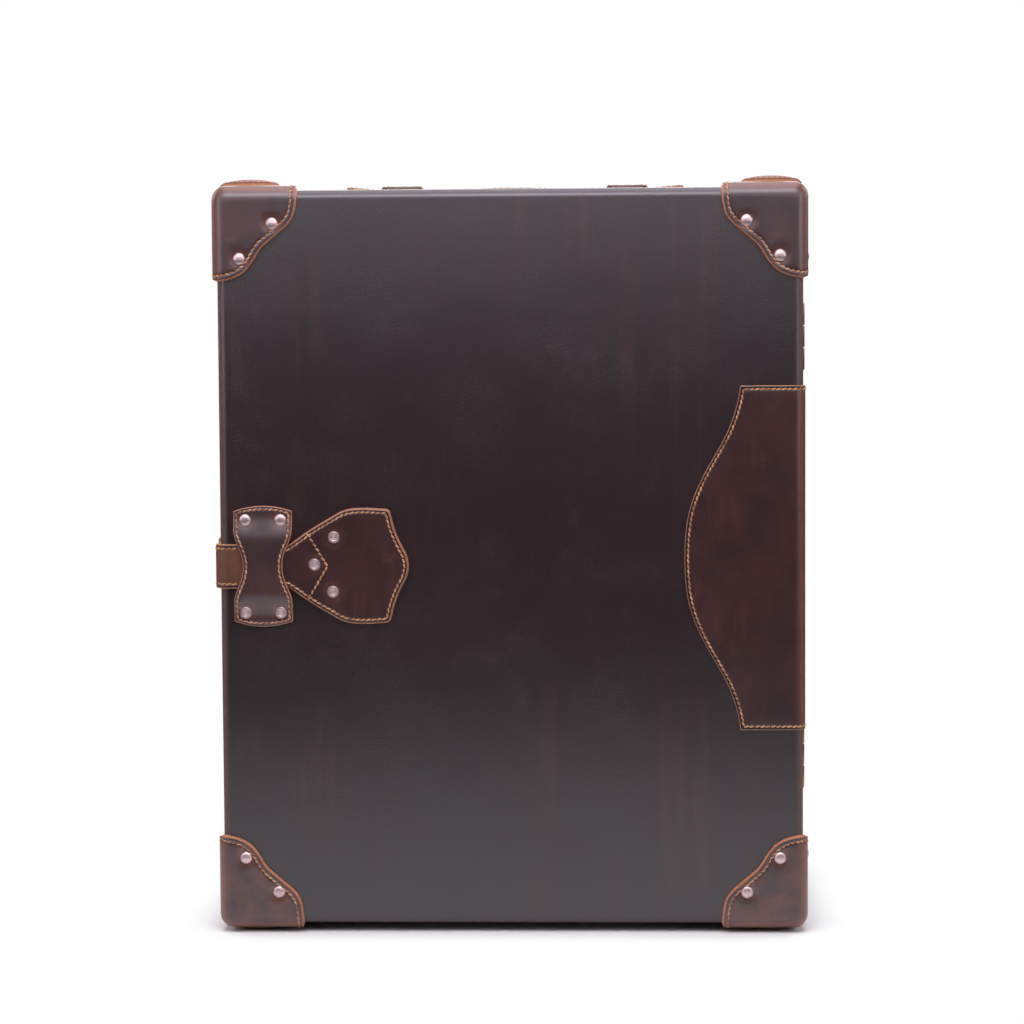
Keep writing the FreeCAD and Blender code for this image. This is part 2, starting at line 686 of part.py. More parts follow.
def leaf(centre_z, side):
    """One leaf with its knuckles: the lid's has the middle one, the back half's the others."""
    third = HINGE_H / 3
    low = centre_z - HINGE_H / 2
    own = [1] if side < 0 else [0, 2]
    y0, y1 = sorted((0.0, side * LEAF_L))
    plate = box(SIDE_X, SIDE_X + LEAF_T, y0, y1, low, low + HINGE_H)
    clear = KNUCKLE_R + LEAF_CUTBACK
    c0, c1 = sorted((-side * LEAF_T, side * clear))
    bore_r = (PIN_R + PIN_CLEAR) / math.cos(math.pi / FASTENER_SIDES)
    bore = moved(many_sided_rod(bore_r, 0, third), HINGE_X)
    barrel = Part.makeCylinder(KNUCKLE_R, third, Vector(HINGE_X, 0, 0))
    for index in range(3):
        z0 = low + index * third
        if index in own:
            plate = plate.fuse(moved(barrel, z=z0)).cut(moved(bore, z=z0))
        else:
            plate = plate.cut(box(SIDE_X, FAR, c0, c1, z0 - KNUCKLE_GAP, z0 + third + KNUCKLE_GAP))
    for index in (1, 2):
        ring = box(HINGE_X - KNUCKLE_R - 1, FAR, -clear, clear, -KNUCKLE_GAP / 2, KNUCKLE_GAP / 2)
        plate = plate.cut(moved(ring, z=low + index * third)) if side < 0 else plate
    return moved(plate.removeSplitter(), y=Y_PART)


def build_hinges():
    pins, leaves = [], {-1: [], 1: []}
    screws = {-1: [], 1: []}
    for z in hinge_levels():
        for side in (-1, 1):
            leaves[side].append(leaf(z, side))
            for share in (-0.36, 0.0, 0.36):
                place = Vector(SIDE_X + LEAF_T, Y_PART + side * LEAF_L * 0.66, z + share * HINGE_H)
                screws[side].append(head(place, Vector(1, 0, 0), SCREW_R, SCREW_H))
        pin = moved(many_sided_rod(PIN_R, z - HINGE_H / 2, z + HINGE_H / 2), HINGE_X, Y_PART)
        for end, way in ((z + HINGE_H / 2, 1), (z - HINGE_H / 2, -1)):
            pin = pin.fuse(head(Vector(HINGE_X, Y_PART, end), Vector(0, 0, way), PIN_HEAD_R, PIN_R))
        pins.append(pin)
    node("lid_hinge_leaves", *leaves[-1])
    node("back_hinge_leaves", *leaves[1])
    node("hinge_pins", *pins)
    node("lid_hinge_screws", *screws[-1])
    node("back_hinge_screws", *screws[1])


# ---------------------------------------------------------------- handle
def build_handle(rivets):
    y = Y_PART + HANDLE_Y
    base = Z_TOP + HANDLE_STAND
    axis_z = base + HANDLE_T / 2
    inner, outer = GRIP_HALF, GRIP_HALF + NECK_L
    bend_r = HANDLE_T / 2
    low_y = y - HANDLE_W / 2

    def pivot(x, radius):
        return Part.makeCylinder(radius, HANDLE_W, Vector(x, low_y, axis_z), Vector(0, 1, 0))

    top = base + HANDLE_T
    grip = face([
        line(Vector(-inner, 0, base), Vector(inner, 0, base)),
        line(Vector(inner, 0, base), Vector(inner, 0, top)),
        arc(Vector(inner, 0, top), Vector(0, 0, top + HANDLE_BELLY), Vector(-inner, 0, top)),
        line(Vector(-inner, 0, top), Vector(-inner, 0, base)),
    ])
    grip = moved(extrude(grip, y=HANDLE_W), y=low_y)
    for sign in (-1, 1):
        grip = grip.cut(pivot(sign * inner, bend_r + BEND_CLEAR))
    node("handle_grip", grip)

    neck = box(inner, outer, low_y, low_y + HANDLE_W, base, top)
    neck = neck.fuse([pivot(inner, bend_r), pivot(outer, bend_r)]).removeSplitter()
    tail = ribbon([(TAIL_END_X, base + TAIL_CURL), (TAIL_CURL_X, base), (outer, base)],
                  -HANDLE_T, 30.0, front_plane)
    tail = moved(extrude(tail, y=HANDLE_W), y=low_y).cut(pivot(outer, bend_r + BEND_CLEAR))
    keeper = keeper_solid(TOP_KEEPER_W, TOP_KEEPER_WAIST, TOP_KEEPER_L, TOP_KEEPER_T,
                          HANDLE_W / 2 + HANDLE_STAND, HANDLE_T + 2 * HANDLE_STAND)
    keepers = []
    for sign, name in ((-1, "left"), (1, "right")):
        node(f"handle_neck_{name}", neck if sign > 0 else mirrored(neck, -1, 1, 1))
        node(f"handle_tail_{name}", tail if sign > 0 else mirrored(tail, -1, 1, 1))
        x = sign * (TOP_KEEPER_X + TOP_KEEPER_W / 2)
        way = Vector(0, 0, 1)
        places = [Vector(x + u * TOP_KEEPER_W * 0.29, y + v * TOP_RIVET_V, Z_TOP + TOP_KEEPER_T)
                  for u in (-1, 1) for v in (-1, 1)]
        keepers.append(moved(keeper, x, y, Z_TOP))
        rivets += [rivet(p, way) for p in places]
    node("handle_keepers", *keepers)


# ---------------------------------------------------------------- drawers
def drawer_levels():
    """The floor of each drawer's bay, from the bottom up, and the top of the last one."""
    levels = [LINED_BOTTOM + CASE_T]
    for height in DRAWER_HEIGHTS:
        levels.append(levels[-1] + height + DRAWER_SLIP + DRAWER_HEAD + CASE_T)
    return levels


def build_drawers():
    levels = drawer_levels()
    case_top = levels[-1]
    y0, y1 = Y_PART + LIP_SEAT, LINED_BACK
    bay_x = LINED_X - CASE_T
    sides = [box(s * LINED_X - (CASE_T if s > 0 else 0), s * LINED_X + (0 if s > 0 else CASE_T),
                 y0, y1, LINED_BOTTOM, case_top) for s in (-1, 1)]
    shelves = [box(-bay_x, bay_x, y0, y1, z - CASE_T, z) for z in levels]
    node("drawer_case", *sides, *shelves)

    half = bay_x - DRAWER_SIDE
    for name, height, floor in zip(DRAWER_NAMES, DRAWER_HEIGHTS, levels):
        z0 = floor + DRAWER_SLIP
        front = box(-half, half, y0, y0 + DRAWER_FRONT_T, z0, z0 + height)
        rim = [e for e in front.Edges if e.BoundBox.YMax < y0 + 1e-6]
        node(f"drawer_front_{name}", front.makeChamfer(DRAWER_BEVEL, rim))
        back = y1 - DRAWER_SLIP
        body = box(-half, half, y0 + DRAWER_FRONT_T, back, z0, z0 + height - DRAWER_DROP)
        hollow = box(-half + DRAWER_WALL, half - DRAWER_WALL, y0 + DRAWER_FRONT_T + DRAWER_WALL,
                     back - DRAWER_WALL, z0 + DRAWER_FLOOR, z0 + height)
        node(f"drawer_box_{name}", body.cut(hollow))
        span = PULL_SPAN / 2
        slope = PULL_OUT * 0.9
        section = ribbon([(-PULL_L / 2, y0), (-span - slope, y0), (-span, y0 - PULL_OUT),
                          (span, y0 - PULL_OUT), (span + slope, y0), (PULL_L / 2, y0)],
                         -PULL_T, None, top_plane)
        node(f"drawer_pull_{name}",
             moved(extrude(section, z=PULL_W), z=z0 + height / 2 - PULL_W / 2))


# ---------------------------------------------------------------- hanging rail
def build_rail():
    y0 = LINED_FRONT + RAIL_LEN_CLEAR
    y1 = Y_PART - LIP_REACH - RAIL_LEN_CLEAR
    top = LINED_TOP - RAIL_BLOCK_T
    bottom = top - RAIL_H
    node("rail_block", box(-RAIL_W / 2 - 4, RAIL_W / 2 + 4, y0, y1, top, LINED_TOP))
    rail = box(-RAIL_W / 2, RAIL_W / 2, y0, y1, bottom, top)
    rail = rail.cut(box(-RAIL_W / 2 + RAIL_T, RAIL_W / 2 - RAIL_T, -FAR, FAR,
                        bottom + RAIL_T, top - RAIL_T))
    rail = rail.cut(box(-RAIL_SLOT / 2, RAIL_SLOT / 2, -FAR, FAR, bottom - 1, bottom + RAIL_T))
    node("rail_channel", rail)

    rod_z = bottom - ROD_DROP
    runner_half = RAIL_W / 2 - RAIL_T - TROLLEY_PLAY
    runner_z = bottom + RAIL_T + TROLLEY_PLAY
    runner = box(-runner_half, runner_half, y0, y1, runner_z, runner_z + TROLLEY_T)
    web = box(-WEB_W / 2, WEB_W / 2, y0, y1, bottom - TROLLEY_T, runner_z)
    foot = box(-BRACKET_W / 2, BRACKET_W / 2, y0, y1, bottom - 2 * TROLLEY_T, bottom - TROLLEY_T)
    trolley = runner.fuse([web, foot])
    for y in (y0, y1 - BRACKET_T):
        plate = box(-BRACKET_W / 2, BRACKET_W / 2, y, y + BRACKET_T,
                    rod_z - BRACKET_W / 2, bottom - TROLLEY_T)
        trolley = trolley.fuse(plate)
    node("hanger_trolley", trolley.removeSplitter())
    span = (y0 + BRACKET_T, y1 - BRACKET_T)
    node("hanger_rod", Part.makeCylinder(ROD_R, span[1] - span[0], Vector(0, span[0], rod_z),
                                         Vector(0, 1, 0)))
    return rod_z, *span


def hanger_wood(top_z):
    """A curved wooden hanger in the plane of the front, with its trouser bar."""
    half = HANGER_W / 2
    tip_z = top_z - HANGER_DROP
    low_z = tip_z - HANGER_TIP
    wood = face([
        arc(Vector(-half, 0, tip_z), Vector(0, 0, top_z), Vector(half, 0, tip_z)),
        line(Vector(half, 0, tip_z), Vector(half, 0, low_z)),
        arc(Vector(half, 0, low_z), Vector(0, 0, top_z - HANGER_DEPTH), Vector(-half, 0, low_z)),
        line(Vector(-half, 0, low_z), Vector(-half, 0, tip_z)),
    ])
    wood = moved(extrude(wood, y=HANGER_T), y=-HANGER_T / 2)
    bar_x = half * 0.9
    bar_z = top_z - TROUSER_BAR_DROP
    bar = many_sided_rod(TROUSER_BAR_R, -bar_x, bar_x)
    bar.Placement = Placement(Vector(0, 0, bar_z), Rotation(Vector(0, 1, 0), 90))
    drops = [box(s * bar_x - TROUSER_BAR_R, s * bar_x + TROUSER_BAR_R, -TROUSER_BAR_R,
                 TROUSER_BAR_R, bar_z - TROUSER_BAR_R, tip_z) for s in (-1, 1)]
    return wood.fuse([bar] + drops)


def hook_solid(rod_z):
    """The hook that hangs over the rod, which runs along Y through (0, rod_z)."""
    middle = rod_z + ROD_R + HOOK_CLEAR - HOOK_R
    knee = HOOK_R / math.cos(math.radians(HOOK_STEP / 2))
    turns = [math.radians(HOOK_STEP * i) for i in range(-1, int(180 / HOOK_STEP) + 1)]
    path = [(knee * math.cos(t), middle + knee * math.sin(t)) for t in turns]
    path += [(-HOOK_R, middle - HOOK_R), (HOOK_WIRE / 2, middle - 2.2 * HOOK_R),
             (HOOK_WIRE / 2, rod_z - HOOK_STEM - HOOK_SINK)]
    section = ribbon(path, -HOOK_WIRE, None, front_plane)
    return moved(extrude(section, y=HOOK_WIRE), y=-HOOK_WIRE / 2)


def build_hangers(rod_z, y0, y1):
    step = (y1 - y0) / HANGER_COUNT
    hook = hook_solid(rod_z)
    wood = hanger_wood(rod_z - HOOK_STEM).cut(hook)
    for index in range(HANGER_COUNT):
        y = y0 + step * (index + 0.5)
        node(f"hanger_wood_{index + 1}", moved(wood, y=y))
        node(f"hanger_hook_{index + 1}", moved(hook, y=y))


# ---------------------------------------------------------------- assembly
def build_case(magnet):
    under = board_block()
    skin = leather_block().cut(under)
    cavity = box(-CAVITY_X, CAVITY_X, CAVITY_FRONT, CAVITY_BACK, CAVITY_BOTTOM, CAVITY_TOP)
    bare = under.cut(cavity)
    for side, prefix in ((-1, "lid"), (1, "back")):
        half = half_space(side)
        leather = skin.common(half)
        node(f"{prefix}_leather", leather.cut(magnet) if side > 0 else leather)
        node(f"{prefix}_boards", *boards(bare.common(half), side))
        node(f"{prefix}_lining", lining(side))
    node("side_magnet", magnet)
    node("rim_frame", *rim_frame())


def build():
    build_case(build_strap_tail())
    lid_rivets = build_guards(-1, "lid")
    back_rivets = build_guards(1, "back")
    build_latch(lid_rivets)
    build_handle(back_rivets)
    node("lid_rivets", *lid_rivets)
    node("back_rivets", *back_rivets)
    node("lid_spine_patch", spine_patch(-1))
    node("back_spine_patch", spine_patch(1))
    build_hinges()
    build_drawers()
    build_hangers(*build_rail())


def export():
    os.makedirs("parts", exist_ok=True)
    for name, shape in NODES.items():
        shape.exportStep(f"parts/{name}.step")
    print(len(NODES), "nodes")


build()
export()
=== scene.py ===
"""Looks of the leather wardrobe trunk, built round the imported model.

Sizes in the classes are millimetres in the model's own frame: the ground is z = 0, the lid faces
-Y and the hinges stand on the +X side. A finished mesh is scaled to metres once, when it becomes
an object.
"""
import logging
import math
from dataclasses import dataclass, field
from enum import Enum
from functools import partial, wraps
from typing import Callable, Iterable, Sequence, Union

import bmesh
import bpy
import numpy as np
from bmesh.types import BMEdge, BMesh, BMFace, BMVert
from mathutils import Matrix, Vector


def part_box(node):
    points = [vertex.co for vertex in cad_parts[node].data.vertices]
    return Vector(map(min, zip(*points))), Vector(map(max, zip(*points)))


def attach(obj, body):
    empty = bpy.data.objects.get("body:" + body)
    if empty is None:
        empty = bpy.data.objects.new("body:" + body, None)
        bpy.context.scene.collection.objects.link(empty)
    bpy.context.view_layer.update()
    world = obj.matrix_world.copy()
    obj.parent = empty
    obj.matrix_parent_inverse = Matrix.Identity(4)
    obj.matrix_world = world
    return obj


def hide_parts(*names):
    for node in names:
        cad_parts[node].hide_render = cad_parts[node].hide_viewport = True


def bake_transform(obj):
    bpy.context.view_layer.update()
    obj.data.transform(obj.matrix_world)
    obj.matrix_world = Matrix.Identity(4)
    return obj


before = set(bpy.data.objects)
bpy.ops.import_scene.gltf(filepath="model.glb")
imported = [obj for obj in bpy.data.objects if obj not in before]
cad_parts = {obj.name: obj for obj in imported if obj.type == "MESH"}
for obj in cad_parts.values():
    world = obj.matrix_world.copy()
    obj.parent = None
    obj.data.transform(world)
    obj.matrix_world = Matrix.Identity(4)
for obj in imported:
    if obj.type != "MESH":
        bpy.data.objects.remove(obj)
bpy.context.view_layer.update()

LOG = logging.getLogger("trunk")
MM = 0.001
INSIDE = 30.0     # rim value well inside a cut edge
FAR_IN = 999.0    # inset of a section line that no cut edge is near
VALUES = ("rim", "cut", "halo", "bend")     # what a leather piece's corners know of its wear

Socket = bpy.types.NodeSocket
Colour = tuple[float, float, float, float]
Value = Union[Socket, float, Colour]
Flat = tuple[float, float]
Place = Callable[[float, float, float], Vector]


def paint(red: float, green: float, blue: float) -> Colour:
    """A colour as written on a paint card, 0 to 255, in the values that shaders use.

    Args:
        red, green, blue: The card's numbers.

    Returns:
        The linear colour with full opacity.
    """
    def linear(value: float) -> float:
        """One channel in linear light."""
        share = value / 255
        return share / 12.92 if share <= 0.04045 else ((share + 0.055) / 1.055) ** 2.4
    return (linear(red), linear(green), linear(blue), 1.0)


# ---- case sizes
@dataclass(frozen=True)
class Trunk:
    """The sizes of the case that its fittings are placed by."""

    side_x: float = 237.5
    front_y: float = -150.0
    back_y: float = 150.0
    part_y: float = -25.0
    bottom_z: float = 7.2
    top_z: float = 607.2
    edge_r: float = 8.0
    skin: float = 2.2
    rim_gap: float = 0.2
    latch_z: float = 302.2

    @property
    def middle_z(self) -> float:
        """Height of the middle of the case."""
        return (self.bottom_z + self.top_z) / 2

    @property
    def half_h(self) -> float:
        """Half the height of the case."""
        return (self.top_z - self.bottom_z) / 2

    def face_y(self, side: int) -> float:
        """The outer face of a half: the lid's on side -1, the back's on side 1."""
        return self.front_y if side < 0 else self.back_y


TRUNK = Trunk()


# ---- node drawing
class Graph:
    """Draws shader nodes in one tree."""

    def __init__(self, tree: bpy.types.NodeTree) -> None:
        """Start on a tree."""
        self.tree = tree

    def feed(self, target: bpy.types.Node, inputs: dict) -> bpy.types.Node:
        """Give a node its inputs.

        Args:
            target: The node.
            inputs: Values or sockets, by the input's name or number.

        Returns:
            The node.
        """
        for key, value in inputs.items():
            if isinstance(value, Socket):
                self.tree.links.new(value, target.inputs[key])
            else:
                target.inputs[key].default_value = value
        return target

    def node(self, kind: str, inputs: dict | None = None, **settings) -> bpy.types.Node:
        """Add a node.

        Args:
            kind: The node's type without its ShaderNode prefix.
            inputs: Values or sockets for its inputs, by name or number.
            settings: The node's own properties.

        Returns:
            The new node.
        """
        made = self.tree.nodes.new(f"ShaderNode{kind}")
        for name, value in settings.items():
            setattr(made, name, value)
        return self.feed(made, inputs or {})

    def math(self, operation: str, *values: Value) -> Socket:
        """One sum; the result is kept as it is."""
        return self.node("Math", dict(enumerate(values)), operation=operation).outputs[0]

    def mix(self, share: Value, first: Value, second: Value, blend: str = "MIX") -> Socket:
        """A blend of two colours, from the first at 0 to the second at 1."""
        return self.node("Mix", {0: share, 6: first, 7: second}, data_type="RGBA",
                         blend_type=blend).outputs[2]

    def remap(self, value: Value, low: float, high: float, to_low: float = 0.0,
              to_high: float = 1.0) -> Socket:
        """A value moved smoothly from one range to another and held inside it."""
        return self.node("MapRange", {0: value, 1: low, 2: high, 3: to_low, 4: to_high},
                         interpolation_type="SMOOTHSTEP").outputs[0]

    def noise(self, vector: Socket, scale: Value, detail: float = 3.0,
              rough: float = 0.55) -> Socket:
        """Soft noise round 0.5."""
        return self.node("TexNoise", {"Vector": vector, "Scale": scale, "Detail": detail,
                                      "Roughness": rough}).outputs[0]

    def stretch(self, vector: Socket, x: float, y: float, z: float) -> Socket:
        """The vector with each axis scaled."""
        return self.node("Mapping", {0: vector, 3: (x, y, z)}).outputs[0]

    def bump(self, height: Socket, distance: float, strength: float = 1.0, **under: Socket
             ) -> Socket:
        """The normal bent by a height, over another Normal if one is given."""
        return self.node("Bump", {"Strength": strength, "Distance": distance, "Height": height,
                                  **under}).outputs[0]

    def group(self, tree: bpy.types.NodeTree, inputs: dict) -> bpy.types.Node:
        """Place a shared effect with its own values."""
        return self.node("Group", inputs, node_tree=tree)


def effect(name: str, takes: Sequence[str], gives: Sequence[str]) -> Callable:
    """Turn a drawing function into a shared node group, made the first time it is asked for.

    Args:
        name: The group's name.
        takes: Its number inputs, beside a Vector.
        gives: Its number outputs, which the function returns by name.

    Returns:
        The decorator.
    """
    def decorate(draw: Callable[[Graph, dict], dict]) -> Callable[[], bpy.types.NodeTree]:
        """Stand a function that gives the group in the place of the one that draws it."""
        @wraps(draw)
        def ask() -> bpy.types.NodeTree:
            """The group."""
            known = bpy.data.node_groups.get(name)
            if known is not None:
                return known
            tree = bpy.data.node_groups.new(name, "ShaderNodeTree")
            tree.interface.new_socket(name="Vector", in_out="INPUT", socket_type="NodeSocketVector")
            for way, labels in (("INPUT", takes), ("OUTPUT", gives)):
                for label in labels:
                    tree.interface.new_socket(name=label, in_out=way, socket_type="NodeSocketFloat")
            graph = Graph(tree)
            given = tree.nodes.new("NodeGroupInput").outputs
            graph.feed(tree.nodes.new("NodeGroupOutput"), draw(graph, given))
            return tree
        return ask
    return decorate


@effect("leather_grain", ["Cells"], ["Height", "Crease"])
def grain_effect(graph: Graph, given: dict) -> dict:
    """Pebbled leather grain: cells with creases between them, and pores on top."""
    vector, cells = given["Vector"], given["Cells"]
    bent = graph.node("VectorMath", {0: vector, 1: graph.node(
        "VectorMath", {0: graph.node("TexNoise", {"Vector": vector, "Scale": 320.0}).outputs[1],
                       3: 0.0012}, operation="SCALE").outputs[0]},
        operation="ADD").outputs[0]
    pebble = graph.node("TexVoronoi", {"Vector": bent, "Scale": cells},
                        feature="DISTANCE_TO_EDGE").outputs[0]
    crease = graph.remap(pebble, 0.0, 0.22)
    pores = graph.noise(vector, graph.math("MULTIPLY", cells, 2.6), 2.0, 0.5)
    height = graph.math("MULTIPLY_ADD", graph.remap(pores, 0.35, 0.65), 0.35, crease)
    patchy = graph.remap(graph.noise(vector, 14.0, 3.0), 0.38, 0.66, 0.3, 1.0)
    return {"Height": graph.math("MULTIPLY", height, patchy), "Crease": crease}


@effect("tone_clouds", ["Scale"], ["Cloud", "Streak"])
def cloud_effect(graph: Graph, given: dict) -> dict:
    """Slow changes of tone: clouds of a given size and streaks that run down."""
    vector, scale = given["Vector"], given["Scale"]
    cloud = graph.noise(vector, scale, 4.0, 0.6)
    long = graph.stretch(vector, 1.0, 1.0, 0.07)
    streak = graph.noise(long, graph.math("MULTIPLY", scale, 9.0), 3.0, 0.6)
    spots = graph.noise(vector, graph.math("MULTIPLY", scale, 0.8), 1.0, 0.5)
    runs = graph.math("MULTIPLY", graph.remap(streak, 0.47, 0.68), graph.remap(spots, 0.42, 0.62))
    return {"Cloud": graph.remap(cloud, 0.25, 0.75), "Streak": runs}


@effect("leather_rim", ["Rim"], ["Burnish_and_sheen", "Worn"])
def rim_effect(graph: Graph, given: dict) -> dict:
    """Pressed band and wear by the distance from a piece's cut edge, broken up by noise; on the trim
    leather the band's tone is partly painted sheen.
    """
    vector, rim = given["Vector"], given["Rim"]
    broken = graph.math("MULTIPLY_ADD", graph.math(
        "SUBTRACT", graph.noise(vector, 260.0, 4.0), 0.5), 1.6, rim)
    band = graph.math("SUBTRACT", 1.0, graph.remap(broken, 2.4, 4.6))
    worn = graph.math("SUBTRACT", 1.0, graph.remap(broken, 0.05, 0.6))
    return {"Burnish_and_sheen": band, "Worn": worn}


@effect("scuffs", [], ["Scratch", "Rubbed"])
def scuff_effect(graph: Graph, given: dict) -> dict:
    """Fine scratches in two directions, inside a broad mask of rubbed spots."""
    vector = given["Vector"]
    lines = [graph.remap(graph.noise(graph.stretch(vector, *way), 120.0, 3.0), 0.62, 0.7)
             for way in ((1.0, 1.0, 0.05), (0.07, 1.0, 1.0))]
    scratch = graph.math("MAXIMUM", *lines)
    rubbed = graph.remap(graph.noise(vector, 55.0, 5.0, 0.65), 0.55, 0.75)
    return {"Scratch": graph.math("MULTIPLY", scratch, rubbed), "Rubbed": rubbed}


@effect("plain_weave", ["Threads"], ["Height"])
def weave_effect(graph: Graph, given: dict) -> dict:
    """Plain weave on all three faces of a box, picked by the face's own direction."""
    scaled = graph.node("VectorMath", {0: given["Vector"], 3: given["Threads"]},
                        operation="SCALE").outputs[0]
    axes = graph.node("SeparateXYZ", {0: scaled}).outputs
    wave = [graph.math("SINE", graph.math("MULTIPLY", axis, 2 * math.pi)) for axis in axes]
    normal = graph.node("SeparateXYZ", {0: graph.node("NewGeometry").outputs["Normal"]}).outputs
    total = None
    for index in range(3):
        pair = graph.math("MULTIPLY", wave[(index + 1) % 3], wave[(index + 2) % 3])
        share = graph.math("ABSOLUTE", normal[index])
        part = graph.math("MULTIPLY", pair, share)
        total = part if total is None else graph.math("ADD", total, part)
    return {"Height": graph.math("MULTIPLY_ADD", total, 0.5, 0.5)}


@effect("wood_grain", [], ["Ring", "Pores"])
def wood_effect(graph: Graph, given: dict) -> dict:
    """Long wood grain along X: rings bent by noise, and short dark pores."""
    vector = given["Vector"]
    long = graph.stretch(vector, 0.12, 1.0, 1.0)
    bend = graph.noise(long, 9.0, 3.0)
    axes = graph.node("SeparateXYZ", {0: long}).outputs
    run = graph.math("ADD", graph.math("MULTIPLY", axes[2], 95.0),
                     graph.math("MULTIPLY_ADD", axes[1], 60.0, graph.math(
                         "MULTIPLY", bend, 17.0)))
    ring = graph.math("MULTIPLY_ADD", graph.math("SINE", run), 0.5, 0.5)
    pores = graph.remap(graph.noise(graph.stretch(vector, 0.04, 1.0, 1.0), 900.0, 2.0), 0.57, 0.7)
    return {"Ring": ring, "Pores": pores}


# ---- finishes
MADE: dict[str, bpy.types.Material] = {}


@dataclass(frozen=True)
class Finish:
    """Something a surface is finished with; made into a material once."""

    name: str

    def draw(self, graph: Graph, shader: bpy.types.Node, place: Socket) -> None:
        """Draw the finish round its shader."""
        raise NotImplementedError

    def material(self) -> bpy.types.Material:
        """The material of this finish, made the first time it is asked for."""
        known = MADE.get(self.name)
        if known is not None:
            return known
        made = MADE[self.name] = bpy.data.materials.new(f"finish_{self.name}")
        made.use_nodes = True
        graph = Graph(made.node_tree)
        shader = made.node_tree.nodes["Principled BSDF"]
        place = graph.node("TexCoord").outputs["Object"]
        self.draw(graph, shader, place)
        return made


@dataclass(frozen=True)
class Leather(Finish):
    """Bridle leather with grain, burnished rims and cut edges.

    Attributes:
        deep, light: The two tones that the surface drifts between.
        streak: The tone of the streaks that run down it.
        burnish_and_sheen: The tone of the pressed band along a rim; on the trim leather its
            blue-grey is partly painted sheen of the rounded bead.
        edge: The tone of the cut edge.
        rub: The tone of scuffed places.
        bent: The tone where the leather is drawn over an edge and rubbed.
        gloss: Roughness of the surface.
        cells: Grain cells to the metre.
        depth: Height of the grain in metres.
        tone_scale: Clouds of tone to the metre.
        specular: How strongly it shines.
        scratched: Strength of the scratches' colour.
        waves: Height of its slow unevenness in metres.
        dull: Roughness that wear adds on rounded edges.
        trodden: How far the lowest 11 cm are rubbed.
    """

    deep: Colour
    light: Colour
    streak: Colour
    burnish_and_sheen: Colour
    edge: Colour
    rub: Colour
    bent: Colour
    gloss: float = 0.42
    cells: float = 900.0
    depth: float = 0.00010
    tone_scale: float = 9.0
    specular: float = 0.5
    scratched: float = 0.25
    waves: float = 0.0004
    dull: float = 0.12
    trodden: float = 0.0

    def draw(self, graph: Graph, shader: bpy.types.Node, place: Socket) -> None:
        """Tones, rim bands, wear, grain, and painted shade in the grain's creases."""
        grain = graph.group(grain_effect(), {"Vector": place, "Cells": self.cells})
        tone = graph.group(cloud_effect(), {"Vector": place, "Scale": self.tone_scale})
        rim, cut, halo, bend = (graph.node("Attribute", attribute_name=name).outputs["Fac"]
                                for name in VALUES)
        bands = graph.group(rim_effect(), {"Vector": place, "Rim": rim})
        scuff = graph.group(scuff_effect(), {"Vector": place})
        colour = graph.mix(tone.outputs["Cloud"], self.deep, self.light)
        colour = graph.mix(graph.math("MULTIPLY", tone.outputs["Streak"], 0.42), colour, self.streak)
        # the rim band's tone: burnish, and on the trim leather partly painted sheen of the rounded
        # bead
        colour = graph.mix(bands.outputs["Burnish_and_sheen"], colour, self.burnish_and_sheen)
        drawn = graph.math("MULTIPLY", bend, graph.remap(
            graph.noise(place, 90.0, 4.0), 0.25, 0.6, 0.7, 1.0))
        colour = graph.mix(drawn, colour, self.bent)
        low = graph.remap(graph.node("SeparateXYZ", {0: place}).outputs[2], 0.11, 0.03, 0.0,
                          self.trodden)
        low = graph.math("MULTIPLY", low, graph.remap(graph.noise(place, 45.0, 4.0), 0.35, 0.65))
        colour = graph.mix(low, colour, self.rub)
        rubbed = graph.math("MULTIPLY_ADD", scuff.outputs["Rubbed"], graph.math(
            "MULTIPLY_ADD", halo, 0.7, 0.05), graph.math("MULTIPLY", halo, 0.3))
        colour = graph.mix(rubbed, colour, self.rub)
        colour = graph.mix(graph.math("MULTIPLY", scuff.outputs["Scratch"], self.scratched), colour,
                           self.rub)
        edge = graph.math("MAXIMUM", graph.math("MULTIPLY", bands.outputs["Worn"], 0.8), cut)
        speck = graph.remap(graph.noise(place, 1400.0, 2.0), 0.3, 0.7, 0.55, 1.0)
        colour = graph.mix(graph.math("MULTIPLY", edge, speck), colour, self.edge)
        # the grain's creases are multiplied down to 0.7 of the colour: painted shade in the creases
        pores = graph.remap(grain.outputs["Crease"], 0.0, 1.0, 0.7, 1.0)
        crease_shade = graph.node("CombineColor", {0: pores, 1: pores, 2: pores}).outputs[0]
        colour = graph.mix(1.0, colour, crease_shade, "MULTIPLY")
        rough = graph.math("ADD", self.gloss, graph.math(
            "MULTIPLY_ADD", scuff.outputs["Rubbed"], 0.04, graph.math(
                "MULTIPLY", bend, self.dull)))
        rough = graph.math("MULTIPLY_ADD", cut, 0.25, rough)
        fine = graph.bump(grain.outputs["Height"], self.depth)
        broad = graph.bump(graph.noise(place, 14.0, 2.0), self.waves, Normal=fine)
        graph.feed(shader, {"Base Color": colour, "Roughness": rough, "Normal": broad,
                            "Specular IOR Level": self.specular,
                            "Specular Tint": (0.94, 0.92, 1.0, 1.0)})


@dataclass(frozen=True)
class Thread(Finish):
    """Waxed linen thread with its twist."""

    light: Colour
    dark: Colour

    def draw(self, graph: Graph, shader: bpy.types.Node, place: Socket) -> None:
        """Fibres and dirt in the lay of the thread."""
        fibre = graph.noise(place, 2600.0, 2.0)
        dirt = graph.noise(place, 160.0, 3.0)
        colour = graph.mix(graph.remap(dirt, 0.35, 0.7), self.light, self.dark)
        colour = graph.mix(graph.remap(fibre, 0.5, 0.75, 0.0, 0.6), colour, self.dark)
        graph.feed(shader, {"Base Color": colour, "Normal": graph.bump(fibre, 0.0002, 0.8),
                            "Roughness": 0.7})


